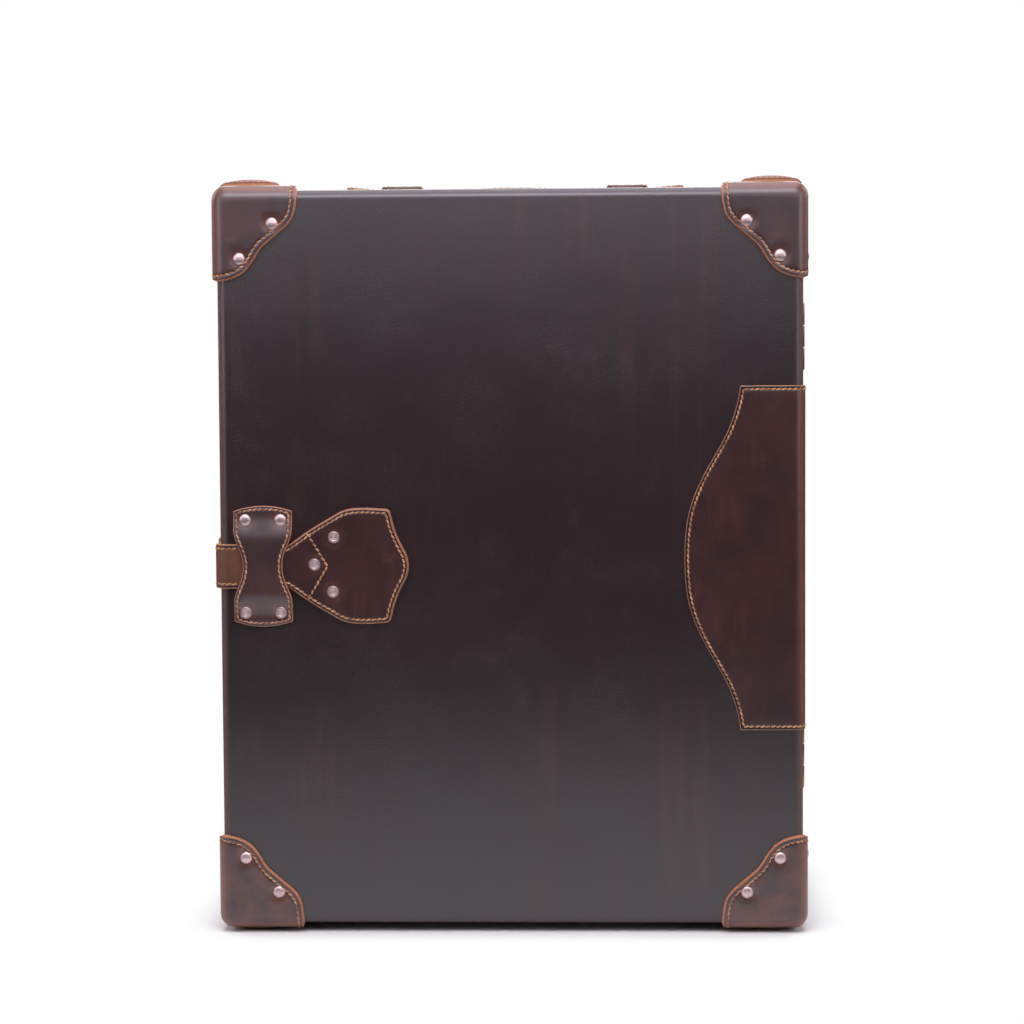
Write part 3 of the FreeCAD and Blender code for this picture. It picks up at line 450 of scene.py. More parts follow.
@dataclass(frozen=True)
class Metal(Finish):
    """Plated metal with fine scratches and patches of dull dirt."""

    tone: Colour
    dull: Colour
    gloss: float = 0.28
    dirt: float = 0.35

    def draw(self, graph: Graph, shader: bpy.types.Node, place: Socket) -> None:
        """Tone, tarnish and scratches."""
        scuff = graph.group(scuff_effect(), {"Vector": graph.stretch(place, 4.0, 4.0, 4.0)})
        patch = graph.remap(graph.noise(place, 300.0, 4.0), 0.4, 0.8, 0.0, self.dirt)
        colour = graph.mix(patch, self.tone, self.dull)
        rough = graph.math("MULTIPLY_ADD", scuff.outputs["Rubbed"], 0.16, self.gloss)
        graph.feed(shader, {"Base Color": colour, "Roughness": rough, "Metallic": 1.0,
                            "Normal": graph.bump(scuff.outputs["Scratch"], 0.00005, 0.5)})


class Along(Enum):
    """The way that a board's grain runs."""

    WIDTH = (0.0, 0.0, 0.0)
    DEPTH = (0.0, 0.0, math.pi / 2)
    HEIGHT = (0.0, math.pi / 2, 0.0)


@dataclass(frozen=True)
class Wood(Finish):
    """Varnished or plain wood."""

    early: Colour
    late: Colour
    pore: Colour
    along: Along = Along.WIDTH
    gloss: float = 0.4
    coat: float = 0.0

    def draw(self, graph: Graph, shader: bpy.types.Node, place: Socket) -> None:
        """Rings, pores and a hint of tone from board to board."""
        turned = graph.node("Mapping", {0: place, 2: self.along.value}).outputs[0]
        grain = graph.group(wood_effect(), {"Vector": turned})
        colour = graph.mix(grain.outputs["Ring"], self.early, self.late)
        colour = graph.mix(graph.math("MULTIPLY", grain.outputs["Pores"], 0.6), colour, self.pore)
        rough = graph.math("MULTIPLY_ADD", grain.outputs["Ring"], 0.12, self.gloss)
        relief = graph.math("SUBTRACT", grain.outputs["Ring"], grain.outputs["Pores"])
        graph.feed(shader, {"Base Color": colour, "Roughness": rough,
                            "Normal": graph.bump(relief, 0.0002, 0.5),
                            "Coat Weight": self.coat, "Coat Roughness": 0.15})


@dataclass(frozen=True)
class Cloth(Finish):
    """Plain woven lining."""

    weft: Colour
    warp: Colour
    threads: float = 1100.0

    def draw(self, graph: Graph, shader: bpy.types.Node, place: Socket) -> None:
        """Weave with slubs and soft stains."""
        weave = graph.group(weave_effect(), {"Vector": place, "Threads": self.threads})
        slub = graph.noise(graph.stretch(place, 1.0, 1.0, 0.08), 500.0, 3.0)
        colour = graph.mix(weave.outputs["Height"], self.weft, self.warp)
        colour = graph.mix(graph.remap(slub, 0.5, 0.8, 0.0, 0.5), colour, self.warp)
        colour = graph.mix(graph.remap(graph.noise(place, 14.0, 4.0), 0.45, 0.8, 0.0, 0.35),
                           colour, self.weft)
        graph.feed(shader, {"Base Color": colour, "Roughness": 0.85, "Sheen Weight": 0.25,
                            "Normal": graph.bump(weave.outputs["Height"], 0.0003, 0.7)})


COVER = Leather("cover_leather", deep=paint(35, 21, 23), light=paint(41, 27, 28),
                streak=paint(70, 38, 31), burnish_and_sheen=paint(44, 28, 26), edge=paint(120, 78, 52),
                rub=paint(84, 60, 56), bent=paint(100, 58, 42), gloss=0.30, cells=480.0,
                depth=0.00004, tone_scale=7.0, specular=1.0, scratched=0.12, waves=0.0003,
                dull=0.45)
# its blue-grey rim band tone is burnish and partly painted sheen of the rounded bead
TRIM = Leather("trim_leather", deep=paint(46, 31, 34), light=paint(76, 50, 47),
               streak=paint(92, 53, 41), burnish_and_sheen=paint(52, 43, 51), edge=paint(224, 144, 86),
               rub=paint(142, 86, 58), bent=paint(122, 70, 46), gloss=0.32, depth=0.00002,
               tone_scale=22.0, specular=1.0, scratched=0.2, waves=0.0003, trodden=0.3)
SHIELD = Leather("shield_leather", deep=paint(47, 27, 27), light=paint(66, 39, 36),
                 streak=paint(84, 46, 36), burnish_and_sheen=paint(34, 22, 24), edge=paint(216, 142, 92),
                 rub=paint(112, 68, 52), bent=paint(128, 68, 44), gloss=0.32,
                 depth=0.00002, tone_scale=26.0, specular=0.75, waves=0.0003)
STRAP = Leather("strap_leather", deep=paint(78, 46, 34), light=paint(108, 67, 48),
                streak=paint(98, 54, 36), burnish_and_sheen=paint(58, 38, 31), edge=paint(216, 150, 98),
                rub=paint(140, 96, 72), bent=paint(116, 72, 54), gloss=0.42,
                depth=0.00003, tone_scale=34.0, specular=0.6)
GUSSET = Leather("gusset_leather", deep=paint(112, 62, 38), light=paint(150, 92, 58),
                 streak=paint(120, 66, 40), burnish_and_sheen=paint(100, 58, 38), edge=paint(196, 128, 80),
                 rub=paint(166, 114, 80), bent=paint(140, 78, 48), gloss=0.55,
                 depth=0.00005, tone_scale=40.0)
THREAD = Thread("waxed_thread", light=paint(200, 148, 106), dark=paint(136, 88, 58))
# near-black discs at the stitch ends: painted shade inside the pricked holes
HOLE_SHADE = Thread("pricked_hole_shade", light=paint(26, 16, 15), dark=paint(14, 9, 9))
NICKEL = Metal("rivet_metal", tone=paint(216, 190, 194), dull=paint(138, 108, 104), gloss=0.42)
STEEL = Metal("satin_steel", tone=paint(190, 186, 180), dull=paint(120, 112, 104), gloss=0.34)
BRASS = Metal("aged_brass", tone=paint(176, 140, 92), dull=paint(92, 66, 44), gloss=0.36, dirt=0.6)
BOARD = Wood("plywood", early=paint(206, 176, 132), late=paint(178, 142, 98),
             pore=paint(120, 88, 58), along=Along.HEIGHT, gloss=0.6)
DRAWER = Wood("drawer_wood", early=paint(150, 98, 58), late=paint(112, 66, 38),
              pore=paint(62, 36, 22), gloss=0.32, coat=0.35)
DRAWER_SIDE = Wood("drawer_side_wood", early=paint(196, 158, 112), late=paint(164, 122, 80),
                   pore=paint(112, 78, 50), along=Along.DEPTH, gloss=0.5)
HANGER = Wood("hanger_wood", early=paint(186, 132, 82), late=paint(150, 98, 56),
              pore=paint(96, 60, 36), gloss=0.3, coat=0.4)
LINING = Cloth("lining_cloth", weft=paint(176, 148, 112), warp=paint(150, 122, 88))


# ---- mesh helpers
def only(kind: type, geometry: Iterable) -> list:
    """The items of one kind: BMVert, BMEdge or BMFace."""
    return [item for item in geometry if isinstance(item, kind)]


def whole(mesh: BMesh) -> list:
    """All corners, edges and faces of a mesh."""
    return mesh.verts[:] + mesh.edges[:] + mesh.faces[:]


def value_layers(mesh: BMesh) -> list:
    """A mesh's new layers for its wear, in the order of VALUES."""
    return [mesh.verts.layers.float.new(label) for label in VALUES]


def grid(mesh: BMesh, columns: int, rows: int) -> Iterable[tuple[BMVert, int, int]]:
    """Add a grid of faces.

    Args:
        mesh: The mesh that takes it.
        columns, rows: Its faces in the two directions.

    Returns:
        Each new corner with its column and row, to be placed.
    """
    made = bmesh.ops.create_grid(mesh, x_segments=columns, y_segments=rows, size=1.0)
    for vert in made["verts"]:
        yield vert, round((vert.co.x + 1) / 2 * columns), round((vert.co.y + 1) / 2 * rows)


def close_up(mesh: BMesh, near: float = 0.0005, thin: float = 0.0002, outwards: bool = True
             ) -> None:
    """Merge the corners that meet and drop what has no width.

    Args:
        mesh: The mesh.
        near: Corners closer than this become one.
        thin: Edges shorter than this go.
        outwards: Whether to turn all faces outwards too.
    """
    bmesh.ops.remove_doubles(mesh, verts=mesh.verts, dist=near)
    bmesh.ops.dissolve_degenerate(mesh, edges=mesh.edges, dist=thin)
    if outwards:
        bmesh.ops.recalc_face_normals(mesh, faces=mesh.faces)


def bend_of(out: Vector, upright: float = 1.0, level: float = 0.9) -> float:
    """How much a surface that faces this way belongs to a rounded edge of the case.

    Args:
        out: The way that the surface faces.
        upright: Strength on the upright edges.
        level: Strength on the level edges.

    Returns:
        Up to 1 on an edge, and 0 on a flat side.
    """
    x, y, z = (abs(part) for part in out.normalized())
    edge = min(1.0, max(0.0, (1.0 - max(x, y, z)) / 0.293)) ** 0.4
    front = min(1.0, max(0.0, (y - 0.72) / 0.28))
    strength = (upright * x + level * z) / max(x + z, 1e-6)
    return edge * strength * (1.0 - 0.85 * front * front * (3 - 2 * front))


def stand(name: str, data: bpy.types.ID) -> bpy.types.Object:
    """A new object round some data, linked to the scene."""
    made = bpy.data.objects.new(name, data)
    bpy.context.scene.collection.objects.link(made)
    return made


def hand_over(made: bpy.types.Object, body: str | None, slot: str, *nodes: str) -> None:
    """Let a finished piece ride, and hide the nodes that it stands for.

    Args:
        made: The piece.
        body: The body that it rides on, or None where it blends between two.
        slot: Not used.
        nodes: CAD nodes that it replaces.
    """
    if body is not None:
        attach(made, body)
    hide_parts(*nodes)
    LOG.info("%s: %d faces", made.name, len(made.data.polygons))


def finish_piece(mesh: BMesh, name: str, finishes: Sequence[Finish], body: str | None, slot: str,
                 *nodes: str, sharp: float = 32.0, recalculate: bool = True) -> bpy.types.Object:
    """Turn a mesh drawn in millimetres into a piece in metres and hand it over.

    Args:
        mesh: The mesh; it is freed.
        name: The piece's name.
        finishes: Its finishes, in the order of the faces' material numbers.
        body, slot, nodes: As hand_over takes them.
        sharp: Edges that turn by more than this many degrees stay sharp.
        recalculate: Whether to turn all faces outwards.

    Returns:
        The piece.
    """
    close_up(mesh, outwards=recalculate)
    bmesh.ops.scale(mesh, vec=(MM, MM, MM), verts=mesh.verts)
    data = bpy.data.meshes.new(name)
    mesh.to_mesh(data)
    mesh.free()
    for finish in finishes:
        data.materials.append(finish.material())
    data.shade_smooth()
    data.set_sharp_from_angle(angle=math.radians(sharp))
    made = stand(name, data)
    hand_over(made, body, slot, *nodes)
    return made


def pour(target: BMesh, source: BMesh, matrix: Matrix = Matrix(), material: int = 0) -> None:
    """Copy one mesh into another.

    Args:
        target: The mesh that grows.
        source: The mesh that is copied; it is kept.
        matrix: Where the copy goes.
        material: Number added to the material of each copied face.
    """
    layers = []
    for label in VALUES:
        old_layer = source.verts.layers.float.get(label)
        if old_layer:
            new_layer = (target.verts.layers.float.get(label)
                         or target.verts.layers.float.new(label))
            layers.append((old_layer, new_layer))
    flip = matrix.determinant() < 0
    made = {}
    for vert in source.verts:
        made[vert] = new = target.verts.new(matrix @ vert.co)
        for old_layer, new_layer in layers:
            new[new_layer] = vert[old_layer]
    for face in source.faces:
        corners = [made[vert] for vert in face.verts]
        new_face = target.faces.new(corners[::-1] if flip else corners)
        new_face.material_index = face.material_index + material
        new_face.smooth = True


def spun(points: Sequence[Flat], steps: int = 20) -> BMesh:
    """A round shape turned about the Z axis from a half section.

    Args:
        points: Radius and height of the section, from the axis outwards.
        steps: Steps of the full turn.

    Returns:
        The mesh.
    """
    mesh = bmesh.new()
    verts = [mesh.verts.new((r, 0.0, z)) for r, z in points]
    edges = [mesh.edges.new(pair) for pair in zip(verts, verts[1:])]
    bmesh.ops.spin(mesh, geom=verts + edges, cent=(0, 0, 0), axis=(0, 0, 1), angle=2 * math.pi,
                   steps=steps, use_merge=True)
    close_up(mesh)
    return mesh


def spun_bar(profile: Sequence[Flat], low: float, high: float, steps: int) -> BMesh:
    """A round bar along Z with the same profile at both ends.

    Args:
        profile: Radius and depth under the end, from the axis outwards.
        low, high: Its ends.
        steps: Steps of the full turn.

    Returns:
        The mesh.
    """
    top = [(r, high - depth) for r, depth in profile]
    return spun(top + [(r, low + depth) for r, depth in reversed(profile)], steps)


def facing(place: Sequence[float], out: Sequence[float], turn: float = 0.0) -> Matrix:
    """The matrix that stands a shape drawn round Z on a place, facing out."""
    turned = Vector(out).to_track_quat("Z", "Y").to_matrix().to_4x4()
    return Matrix.Translation(place) @ turned @ Matrix.Rotation(turn, 4, "Z")


def cut_across(mesh: BMesh, place: Sequence[float], normal: Sequence[float], **clear: bool) -> None:
    """Cut a mesh by a plane; clear_inner or clear_outer drops one side of it."""
    bmesh.ops.bisect_plane(mesh, geom=whole(mesh), dist=0.001, plane_co=place, plane_no=normal,
                           **clear)


def box_mesh(low: Vector, high: Vector, bevel: float, segments: int = 2) -> BMesh:
    """A box between two corners with bevelled edges."""
    mesh = bmesh.new()
    bmesh.ops.create_cube(mesh, size=1.0)
    bmesh.ops.scale(mesh, vec=high - low, verts=mesh.verts)
    bmesh.ops.translate(mesh, vec=(low + high) / 2, verts=mesh.verts)
    bmesh.ops.bevel(mesh, geom=mesh.edges[:], affect="EDGES", offset=bevel, segments=segments,
                    profile=0.5, material=-1)
    return mesh


def cad_box(node: str) -> tuple[Vector, Vector]:
    """A CAD node's corners in millimetres."""
    low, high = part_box(node)
    return low / MM, high / MM


# ---- flat runs
def run_lengths(points: np.ndarray) -> np.ndarray:
    """The length along a run at each of its points."""
    return np.r_[0, np.cumsum(np.linalg.norm(np.diff(points, axis=0), axis=1))]


def even_run(points: np.ndarray, count: int) -> np.ndarray:
    """A flat run drawn again through as many points at even distances."""
    lengths = run_lengths(points)
    even = np.linspace(0, lengths[-1], count)
    return np.c_[np.interp(even, lengths, points[:, 0]), np.interp(even, lengths, points[:, 1])]


def smooth_run(points: np.ndarray, steps: int) -> np.ndarray:
    """A smooth run through points.

    Args:
        points: The points, one to a row.
        steps: Steps between two of them.

    Returns:
        The fine run.
    """
    padded = np.vstack([2 * points[0] - points[1], points, 2 * points[-1] - points[-2]])
    made = []
    for a, b, c, d in zip(padded, padded[1:], padded[2:], padded[3:]):
        for share in np.linspace(0, 1, steps, endpoint=False):
            made.append(0.5 * (2 * b + (c - a) * share + (2 * a - 5 * b + 4 * c - d) * share ** 2
                               + (3 * b - a - 3 * c + d) * share ** 3))
    made.append(points[-1])
    return np.array(made)


class Run:
    """A bent line in a plane, with places along it and off it."""

    def __init__(self, points: np.ndarray) -> None:
        """Keep the points, their left-hand normals and the lengths between them."""
        ways = np.gradient(points, axis=0)
        ways /= np.linalg.norm(ways, axis=1)[:, None]
        self.columns = np.c_[points, -ways[:, 1], ways[:, 0]].T
        self.lengths = run_lengths(points)
        self.length = float(self.lengths[-1])

    def at(self, run: float, height: float) -> Flat:
        """The place at a length along the line and a height off it."""
        x, y, off_x, off_y = (float(np.interp(run, self.lengths, column))
                              for column in self.columns)
        return x + off_x * height, y + off_y * height


def rounded_path(points: Sequence[Flat], radius: float) -> Run:
    """A run through corners that are rounded.

    Args:
        points: The corners.
        radius: Radius of each rounding.

    Returns:
        The run.
    """
    corners = [np.array(p, float) for p in points]
    made = [corners[0]]
    for before, corner, after in zip(corners, corners[1:], corners[2:]):
        towards = (before - corner) / np.linalg.norm(before - corner)
        away = (after - corner) / np.linalg.norm(after - corner)
        half = math.acos(float(np.clip(towards @ away, -1, 1))) / 2
        reach = radius / math.tan(half)
        middle = (towards + away) / np.linalg.norm(towards + away)
        centre = corner + middle * (radius / math.sin(half))
        start, end = corner + towards * reach - centre, corner + away * reach - centre
        for share in np.linspace(0, 1, 7):
            spot = start * math.sin((1 - share) * (math.pi - 2 * half)) + end * math.sin(
                share * (math.pi - 2 * half))
            made.append(centre + spot / math.sin(math.pi - 2 * half))
    made.append(corners[-1])
    fine = []
    for a, b in zip(made, made[1:]):
        count = max(1, int(np.linalg.norm(b - a) / 0.8))
        fine += [a + (b - a) * k / count for k in range(count)]
    fine.append(made[-1])
    return Run(np.array(fine))


# ---- leather work
@dataclass(frozen=True)
class Station:
    """One line of a leather piece's section, counted from its cut edge.

    Attributes:
        inset: Distance from the cut edge.
        height: Height over the underside.
        cut: 1 on the cut edge, 0 on the grain side.
    """

    inset: float
    height: float
    cut: float = 0.0


def edge_section(thickness: float, groove: float | None = 4.8, round_r: float = 0.9,
                 groove_w: float = 0.85, groove_d: float = 0.5) -> list[Station]:
    """The section of a burnished edge: a bead, and the low line that the stitches lie in.

    Args:
        thickness: The leather's thickness.
        groove: Inset of the stitching line, or None for a plain edge.
        round_r: Rounding of the edge.
        groove_w: Half the line's width.
        groove_d: Its depth.

    Returns:
        The stations from the cut edge inwards.
    """
    low = 0.29 * round_r
    stations = [Station(0.0, 0.0, 1.0), Station(0.0, thickness - round_r - 0.12, 1.0),
                Station(low, thickness - low - 0.12, 0.9), Station(round_r, thickness - 0.06, 0.0)]
    if groove is not None:
        bead = groove - groove_w - round_r
        stations += [Station(round_r + bead * 0.45, thickness),
                     Station(groove - groove_w, thickness - groove_d * 0.35),
                     Station(groove - groove_w * 0.35, thickness - groove_d),
                     Station(groove + groove_w * 0.35, thickness - groove_d),
                     Station(groove + groove_w * 1.2, thickness - groove_d * 0.55),
                     Station(groove + groove_w * 2.4, thickness - groove_d * 0.18),
                     Station(groove + groove_w * 4.0, thickness)]
    return stations


@dataclass
class Line:
    """One grid line of a panel across one of its directions.

    Attributes:
        share: Its share of the way from the low side to the high one.
        low, high: Its insets from those sides.
        section: What the leather's section is there.
    """

    share: float
    low: float
    high: float
    section: Station


def lines_across(first: Sequence[Station], last: Sequence[Station], middle: int) -> list[Line]:
    """Grid lines from one side's section to the other's.

    Args:
        first: Section at the low side.
        last: Section at the high side.
        middle: Number of steps between them.

    Returns:
        The lines in order.
    """
    low, high = first[-1], last[-1]
    inner = Station(FAR_IN, max(low.height, high.height))
    return ([Line(0.0, s.inset, 0.0, s) for s in first]
            + [Line(index / middle, low.inset, high.inset, inner) for index in range(1, middle)]
            + [Line(1.0, 0.0, s.inset, s) for s in reversed(last)])


@dataclass
class Panel:
    """A flat piece of leather with four sides, drawn flat and then bent into place.

    Attributes:
        u_low, u_high: The left and right side, as functions of v.
        v_low, v_high: The lower and upper side, as functions of the place across, -1 to 1.
        across, along: The grid lines in the two directions.
        dent, dent_narrow: Depth of the hollow that a rivet pulls, and how many times
            narrower it is than the rubbed ring round it.
    """

    u_low: Callable[[float], float]
    u_high: Callable[[float], float]
    v_low: Callable[[float], float]
    v_high: Callable[[float], float]
    across: list[Line]
    along: list[Line]
    dent: float = 0.9
    dent_narrow: float = 1.36

    @staticmethod
    def _between(low: float, high: float, share: float, inset_low: float,
                 inset_high: float) -> float:
        """A place between two sides, kept clear of both by the insets."""
        start, end = low + inset_low, high - inset_high
        return start + share * (end - start)

    def flat(self, share_u: float, share_v: float, inset: tuple[float, float, float, float]) -> Flat:
        """The flat place at shares of the two directions, clear of the sides by insets."""
        low_v, high_v = self.v_low(0.0), self.v_high(0.0)
        nominal = self._between(low_v, high_v, share_v, inset[2], inset[3])
        low_u, high_u = self.u_low(nominal), self.u_high(nominal)
        u = self._between(low_u, high_u, share_u, inset[0], inset[1])
        across = (2 * u - low_u - high_u) / max(high_u - low_u, 1e-6)
        v = self._between(self.v_low(across), self.v_high(across), share_v, inset[2], inset[3])
        return u, v

    def draw(self, place: Place, halos: Sequence[tuple[float, float, float]] = ()) -> BMesh:
        """The piece as a closed mesh in its place.

        Args:
            place: Takes a flat place and a height to a place in the model.
            halos: Flat centres and radii of rubbed rings round rivets.

        Returns:
            The mesh, with its rim, cut and halo values.
        """
        mesh = bmesh.new()
        rim, cut, halo, bend = value_layers(mesh)
        for vert, i, j in grid(mesh, len(self.across) - 1, len(self.along) - 1):
            col, row = self.across[i], self.along[j]
            u, v = self.flat(col.share, row.share, (col.low, col.high, row.low, row.high))
            section = min(col.section, row.section, key=lambda s: (s.inset, s.height))
            dents = 0.0
            for centre_u, centre_v, radius in halos:
                apart = math.hypot(u - centre_u, v - centre_v)
                dents += self.dent * math.exp(-(apart * self.dent_narrow / radius) ** 4)
                vert[halo] = max(vert[halo], 1.0 - min(1.0, apart / radius) ** 2)
            vert.co = (u, v, section.height - min(0.5 * section.height, dents))
            vert[rim], vert[cut] = min(section.inset, INSIDE), section.cut
        under = bmesh.ops.duplicate(mesh, geom=whole(mesh))["geom"]
        for vert in only(BMVert, under):
            vert.co.z = 0.0
        bmesh.ops.reverse_faces(mesh, faces=only(BMFace, under))
        close_up(mesh, outwards=False)
        for vert in mesh.verts:
            u, v, height = vert.co
            vert.co = place(u, v, height)
            vert[bend] = bend_of(place(u, v, height + 1.0) - vert.co)
        return mesh

    def seam(self, inset: float, sides: str = "lrbt", count: int = 60) -> list[list[Flat]]:
        """Flat runs that a seam follows inside the sides.

        Args:
            inset: Distance of the seam from the cut edge.
            sides: The sides that are sewn: l, r, b and t.
            count: Steps of each run.

        Returns:
            One run for each side.
        """
        tiny = 1e-4
        shares = [min(max(i / count, tiny), 1 - tiny) for i in range(count + 1)]
        spots = {"l": lambda s: (0.0, s), "r": lambda s: (1.0, s),
                 "b": lambda s: (s, 0.0), "t": lambda s: (s, 1.0)}
        return [[self.flat(*spots[side](share), (inset,) * 4) for share in shares]
                for side in sides]


class Seam:
    """Hand-sewn stitches and the pricked holes beside their ends.

    Attributes:
        aside: How far a hole lies beside the run.
        slant: Degrees that each stitch is turned from the run.
        thread, hole: Material numbers of the thread and of the holes' painted shade.
    """

    aside = 0.85
    slant = 15.0
    thread, hole = 1, 2

    def __init__(self, pitch: float = 4.2, thick: float = 0.8) -> None:
        """Prepare one stitch and one hole.

        Args:
            pitch: Length of a stitch with its gap.
            thick: Half the thread's thickness.
        """
        self.pitch = pitch
        self.stitch_mesh = bmesh.new()
        strand = bmesh.ops.create_uvsphere(self.stitch_mesh, u_segments=6, v_segments=7, radius=1.0)
        for vert in strand["verts"]:
            along = vert.co.z
            around = math.hypot(vert.co.x, vert.co.y)
            full = math.sqrt(1 - along ** 4) / around if around > 1e-6 else 0.0
            wind = along * 1.9 + math.atan2(vert.co.y, vert.co.x)
            vert.co = Vector((along * pitch * 0.53, math.cos(wind) * around * full * thick,
                              math.sin(wind) * around * full * thick * 0.72
                              + thick * (0.3 - 0.75 * along * along)))
        self.hole_mesh = bmesh.new()
        bmesh.ops.create_circle(self.hole_mesh, cap_ends=True, segments=6, radius=0.64)
        bmesh.ops.inset_region(self.hole_mesh, faces=self.hole_mesh.faces[:], thickness=0.2,
                               depth=-0.12)

    def sew(self, target: BMesh, runs: Iterable[Sequence[Flat]], place: Place, height: float
            ) -> None:
        """Lay stitches along flat runs.

        Args:
            target: The mesh that takes them.
            runs: The flat runs.
            place: Takes a flat place and a height to a place in the model.
            height: Height of the groove's floor.
        """
        for run in runs:
            lengths = run_lengths(np.array([place(u, v, height) for u, v in run], float))
            if lengths[-1] < self.pitch:
                continue
            count = max(1, round(lengths[-1] / self.pitch))
            flat_run = np.array(run, float)
            for index in range(count):
                spots = [(index + share) * lengths[-1] / count for share in (0.1, 0.5, 0.9, 1.0)]
                start, centre, end, gap = (
                    (np.interp(s, lengths, flat_run[:, 0]), np.interp(s, lengths, flat_run[:, 1]))
                    for s in spots)
                middle = place(*centre, height)
                way = (place(*end, height) - place(*start, height)).normalized()
                out = (place(*centre, height + 1.0) - middle).normalized()
                self._lay(target, self.stitch_mesh, middle, way, out, self.thread, self.slant)
                prick = place(*gap, height + 0.12)
                prick += out.cross(way).normalized() * self.aside
                out = (place(*gap, height + 1.1) - prick).normalized()
                self._lay(target, self.hole_mesh, prick, way, out, self.hole, 0.0)

    @staticmethod
    def _lay(target: BMesh, shape: BMesh, middle: Vector, way: Vector, out: Vector, material: int,
             slant: float) -> None:
        """Copy a shape to a place, along one way and facing out."""
        side = out.cross(way).normalized()
        turned = Matrix((side.cross(out).normalized(), side, out)).transposed().to_4x4()
        pour(target, shape, Matrix.Translation(middle) @ turned @ Matrix.Rotation(
            math.radians(slant), 4, "Z"), material)


def inset_table(outline: np.ndarray, rays: Sequence[np.ndarray], insets: Sequence[float]
                ) -> list[list[float]]:
    """How far along each ray the leather's section lines lie.

    Args:
        outline: Points of the outline.
        rays: Rays from the origin to the outline.
        insets: Distances from the outline.

    Returns:
        For each ray, the share of it that lies each inset inside the outline.
    """
    starts = outline[:-1]
    run = outline[1:] - starts
    square = (run ** 2).sum(1)

    def apart(point: np.ndarray) -> float:
        """Distance of a point from the outline."""
        share = np.clip(((point - starts) * run).sum(1) / square, 0, 1)
        return float(np.sqrt((((starts + run * share[:, None]) - point) ** 2).sum(1)).min())

    def share_at(ray: np.ndarray, inset: float) -> float:
        """The share of one ray at one inset, found by halving."""
        if inset <= 1e-9:
            return 1.0
        low, high = max(0.0, 1 - 2.6 * inset / np.linalg.norm(ray)), 1.0
        for _ in range(14):
            middle = (low + high) / 2
            if apart(ray * middle) > inset:
                low = middle
            else:
                high = middle
        return (low + high) / 2

    return [[share_at(ray, inset) for inset in insets] for ray in rays]


def inset_run(outline: np.ndarray, rays: Sequence[np.ndarray], inset: float) -> np.ndarray:
    """The places on the rays that lie an inset inside the outline."""
    return np.array(rays) * np.array(inset_table(outline, rays, [inset]))


def fan(mesh: BMesh, outline: np.ndarray, rays: Sequence[np.ndarray], inset: float,
        sections: Sequence[Station], depth: int
        ) -> Iterable[tuple[BMVert, np.ndarray, float, float, float]]:
    """Add one skin of a leather layer, as lines inside its outline and on to its origin.

    Args:
        mesh: The mesh that takes it.
        outline, rays: The piece's outline and the rays to it.
        inset: How far the layer's own outline lies inside it.
        sections: The layer's edge section.
        depth: Lines from the section's end to the origin.

    Returns:
        Each new corner with its flat place, height, cut and rim value.
    """
    table = inset_table(outline, rays, [s.inset + inset for s in sections])
    for vert, i, j in grid(mesh, len(rays) - 1, len(sections) + depth - 1):
        if j < len(sections):
            station = sections[j]
            yield vert, rays[i] * table[i][j], station.height, station.cut, station.inset
        else:
            share = table[i][-1] * (1 - (j - len(sections) + 1) / depth)
            yield vert, rays[i] * share, sections[-1].height, 0.0, INSIDE


# ---- case
@dataclass
class Cover:
    """The leather skin of one half, turned over the boards' rims."""

    prefix: str
    body: str
    side: int
    trunk: Trunk = TRUNK
    segments: int = 8
    reach: float = 40.0
    tuck: float = 30.0

    def build(self) -> None:
        """Make the skin as a rounded box without its parting face, and give it its thickness."""
        trunk = self.trunk
        face_y = trunk.face_y(self.side)
        rim_y = trunk.part_y + self.side * trunk.rim_gap
        past_y = rim_y - self.side * self.reach
        mesh = box_mesh(Vector((-trunk.side_x, min(face_y, past_y), trunk.bottom_z)),
                        Vector((trunk.side_x, max(face_y, past_y), trunk.top_z)),
                        trunk.edge_r, self.segments)
        cut_across(mesh, (0, rim_y, 0), (0, self.side, 0), clear_inner=True)
        rim = [e for e in mesh.edges if e.is_boundary]
        turned = bmesh.ops.extrude_edge_only(mesh, edges=rim)["geom"]
        for vert in only(BMVert, turned):
            vert.co.x *= (trunk.side_x - trunk.skin) / trunk.side_x
            vert.co.z = trunk.middle_z + (vert.co.z - trunk.middle_z) * (
                trunk.half_h - trunk.skin) / trunk.half_h
        tucked = bmesh.ops.extrude_edge_only(
            mesh, edges=[e for e in only(BMEdge, turned) if e.is_boundary])["geom"]
        for vert in only(BMVert, tucked):
            vert.co.y += self.side * self.tuck
        self._values(mesh, rim_y)
        finish_piece(mesh, f"{self.prefix}_cover", [COVER], self.body, "trunk_leather",
                     f"{self.prefix}_leather", recalculate=False)

    def _values(self, mesh: BMesh, rim_y: float) -> None:
        """Mark the rounded edges as worn and the rim as turned leather."""
        rim, _, _, bend = value_layers(mesh)
        trunk, r = self.trunk, self.trunk.edge_r
        for vert in mesh.verts:
            vert[rim] = INSIDE
            out = Vector((max(0.0, abs(vert.co.x) - trunk.side_x + r),
                          max(0.0, r - abs(vert.co.y - trunk.face_y(self.side))),
                          max(0.0, abs(vert.co.z - trunk.middle_z) - trunk.half_h + r)))
            if abs(vert.co.y - rim_y) > 1.0 and out.length > 0:
                vert[bend] = bend_of(out, level=0.1)


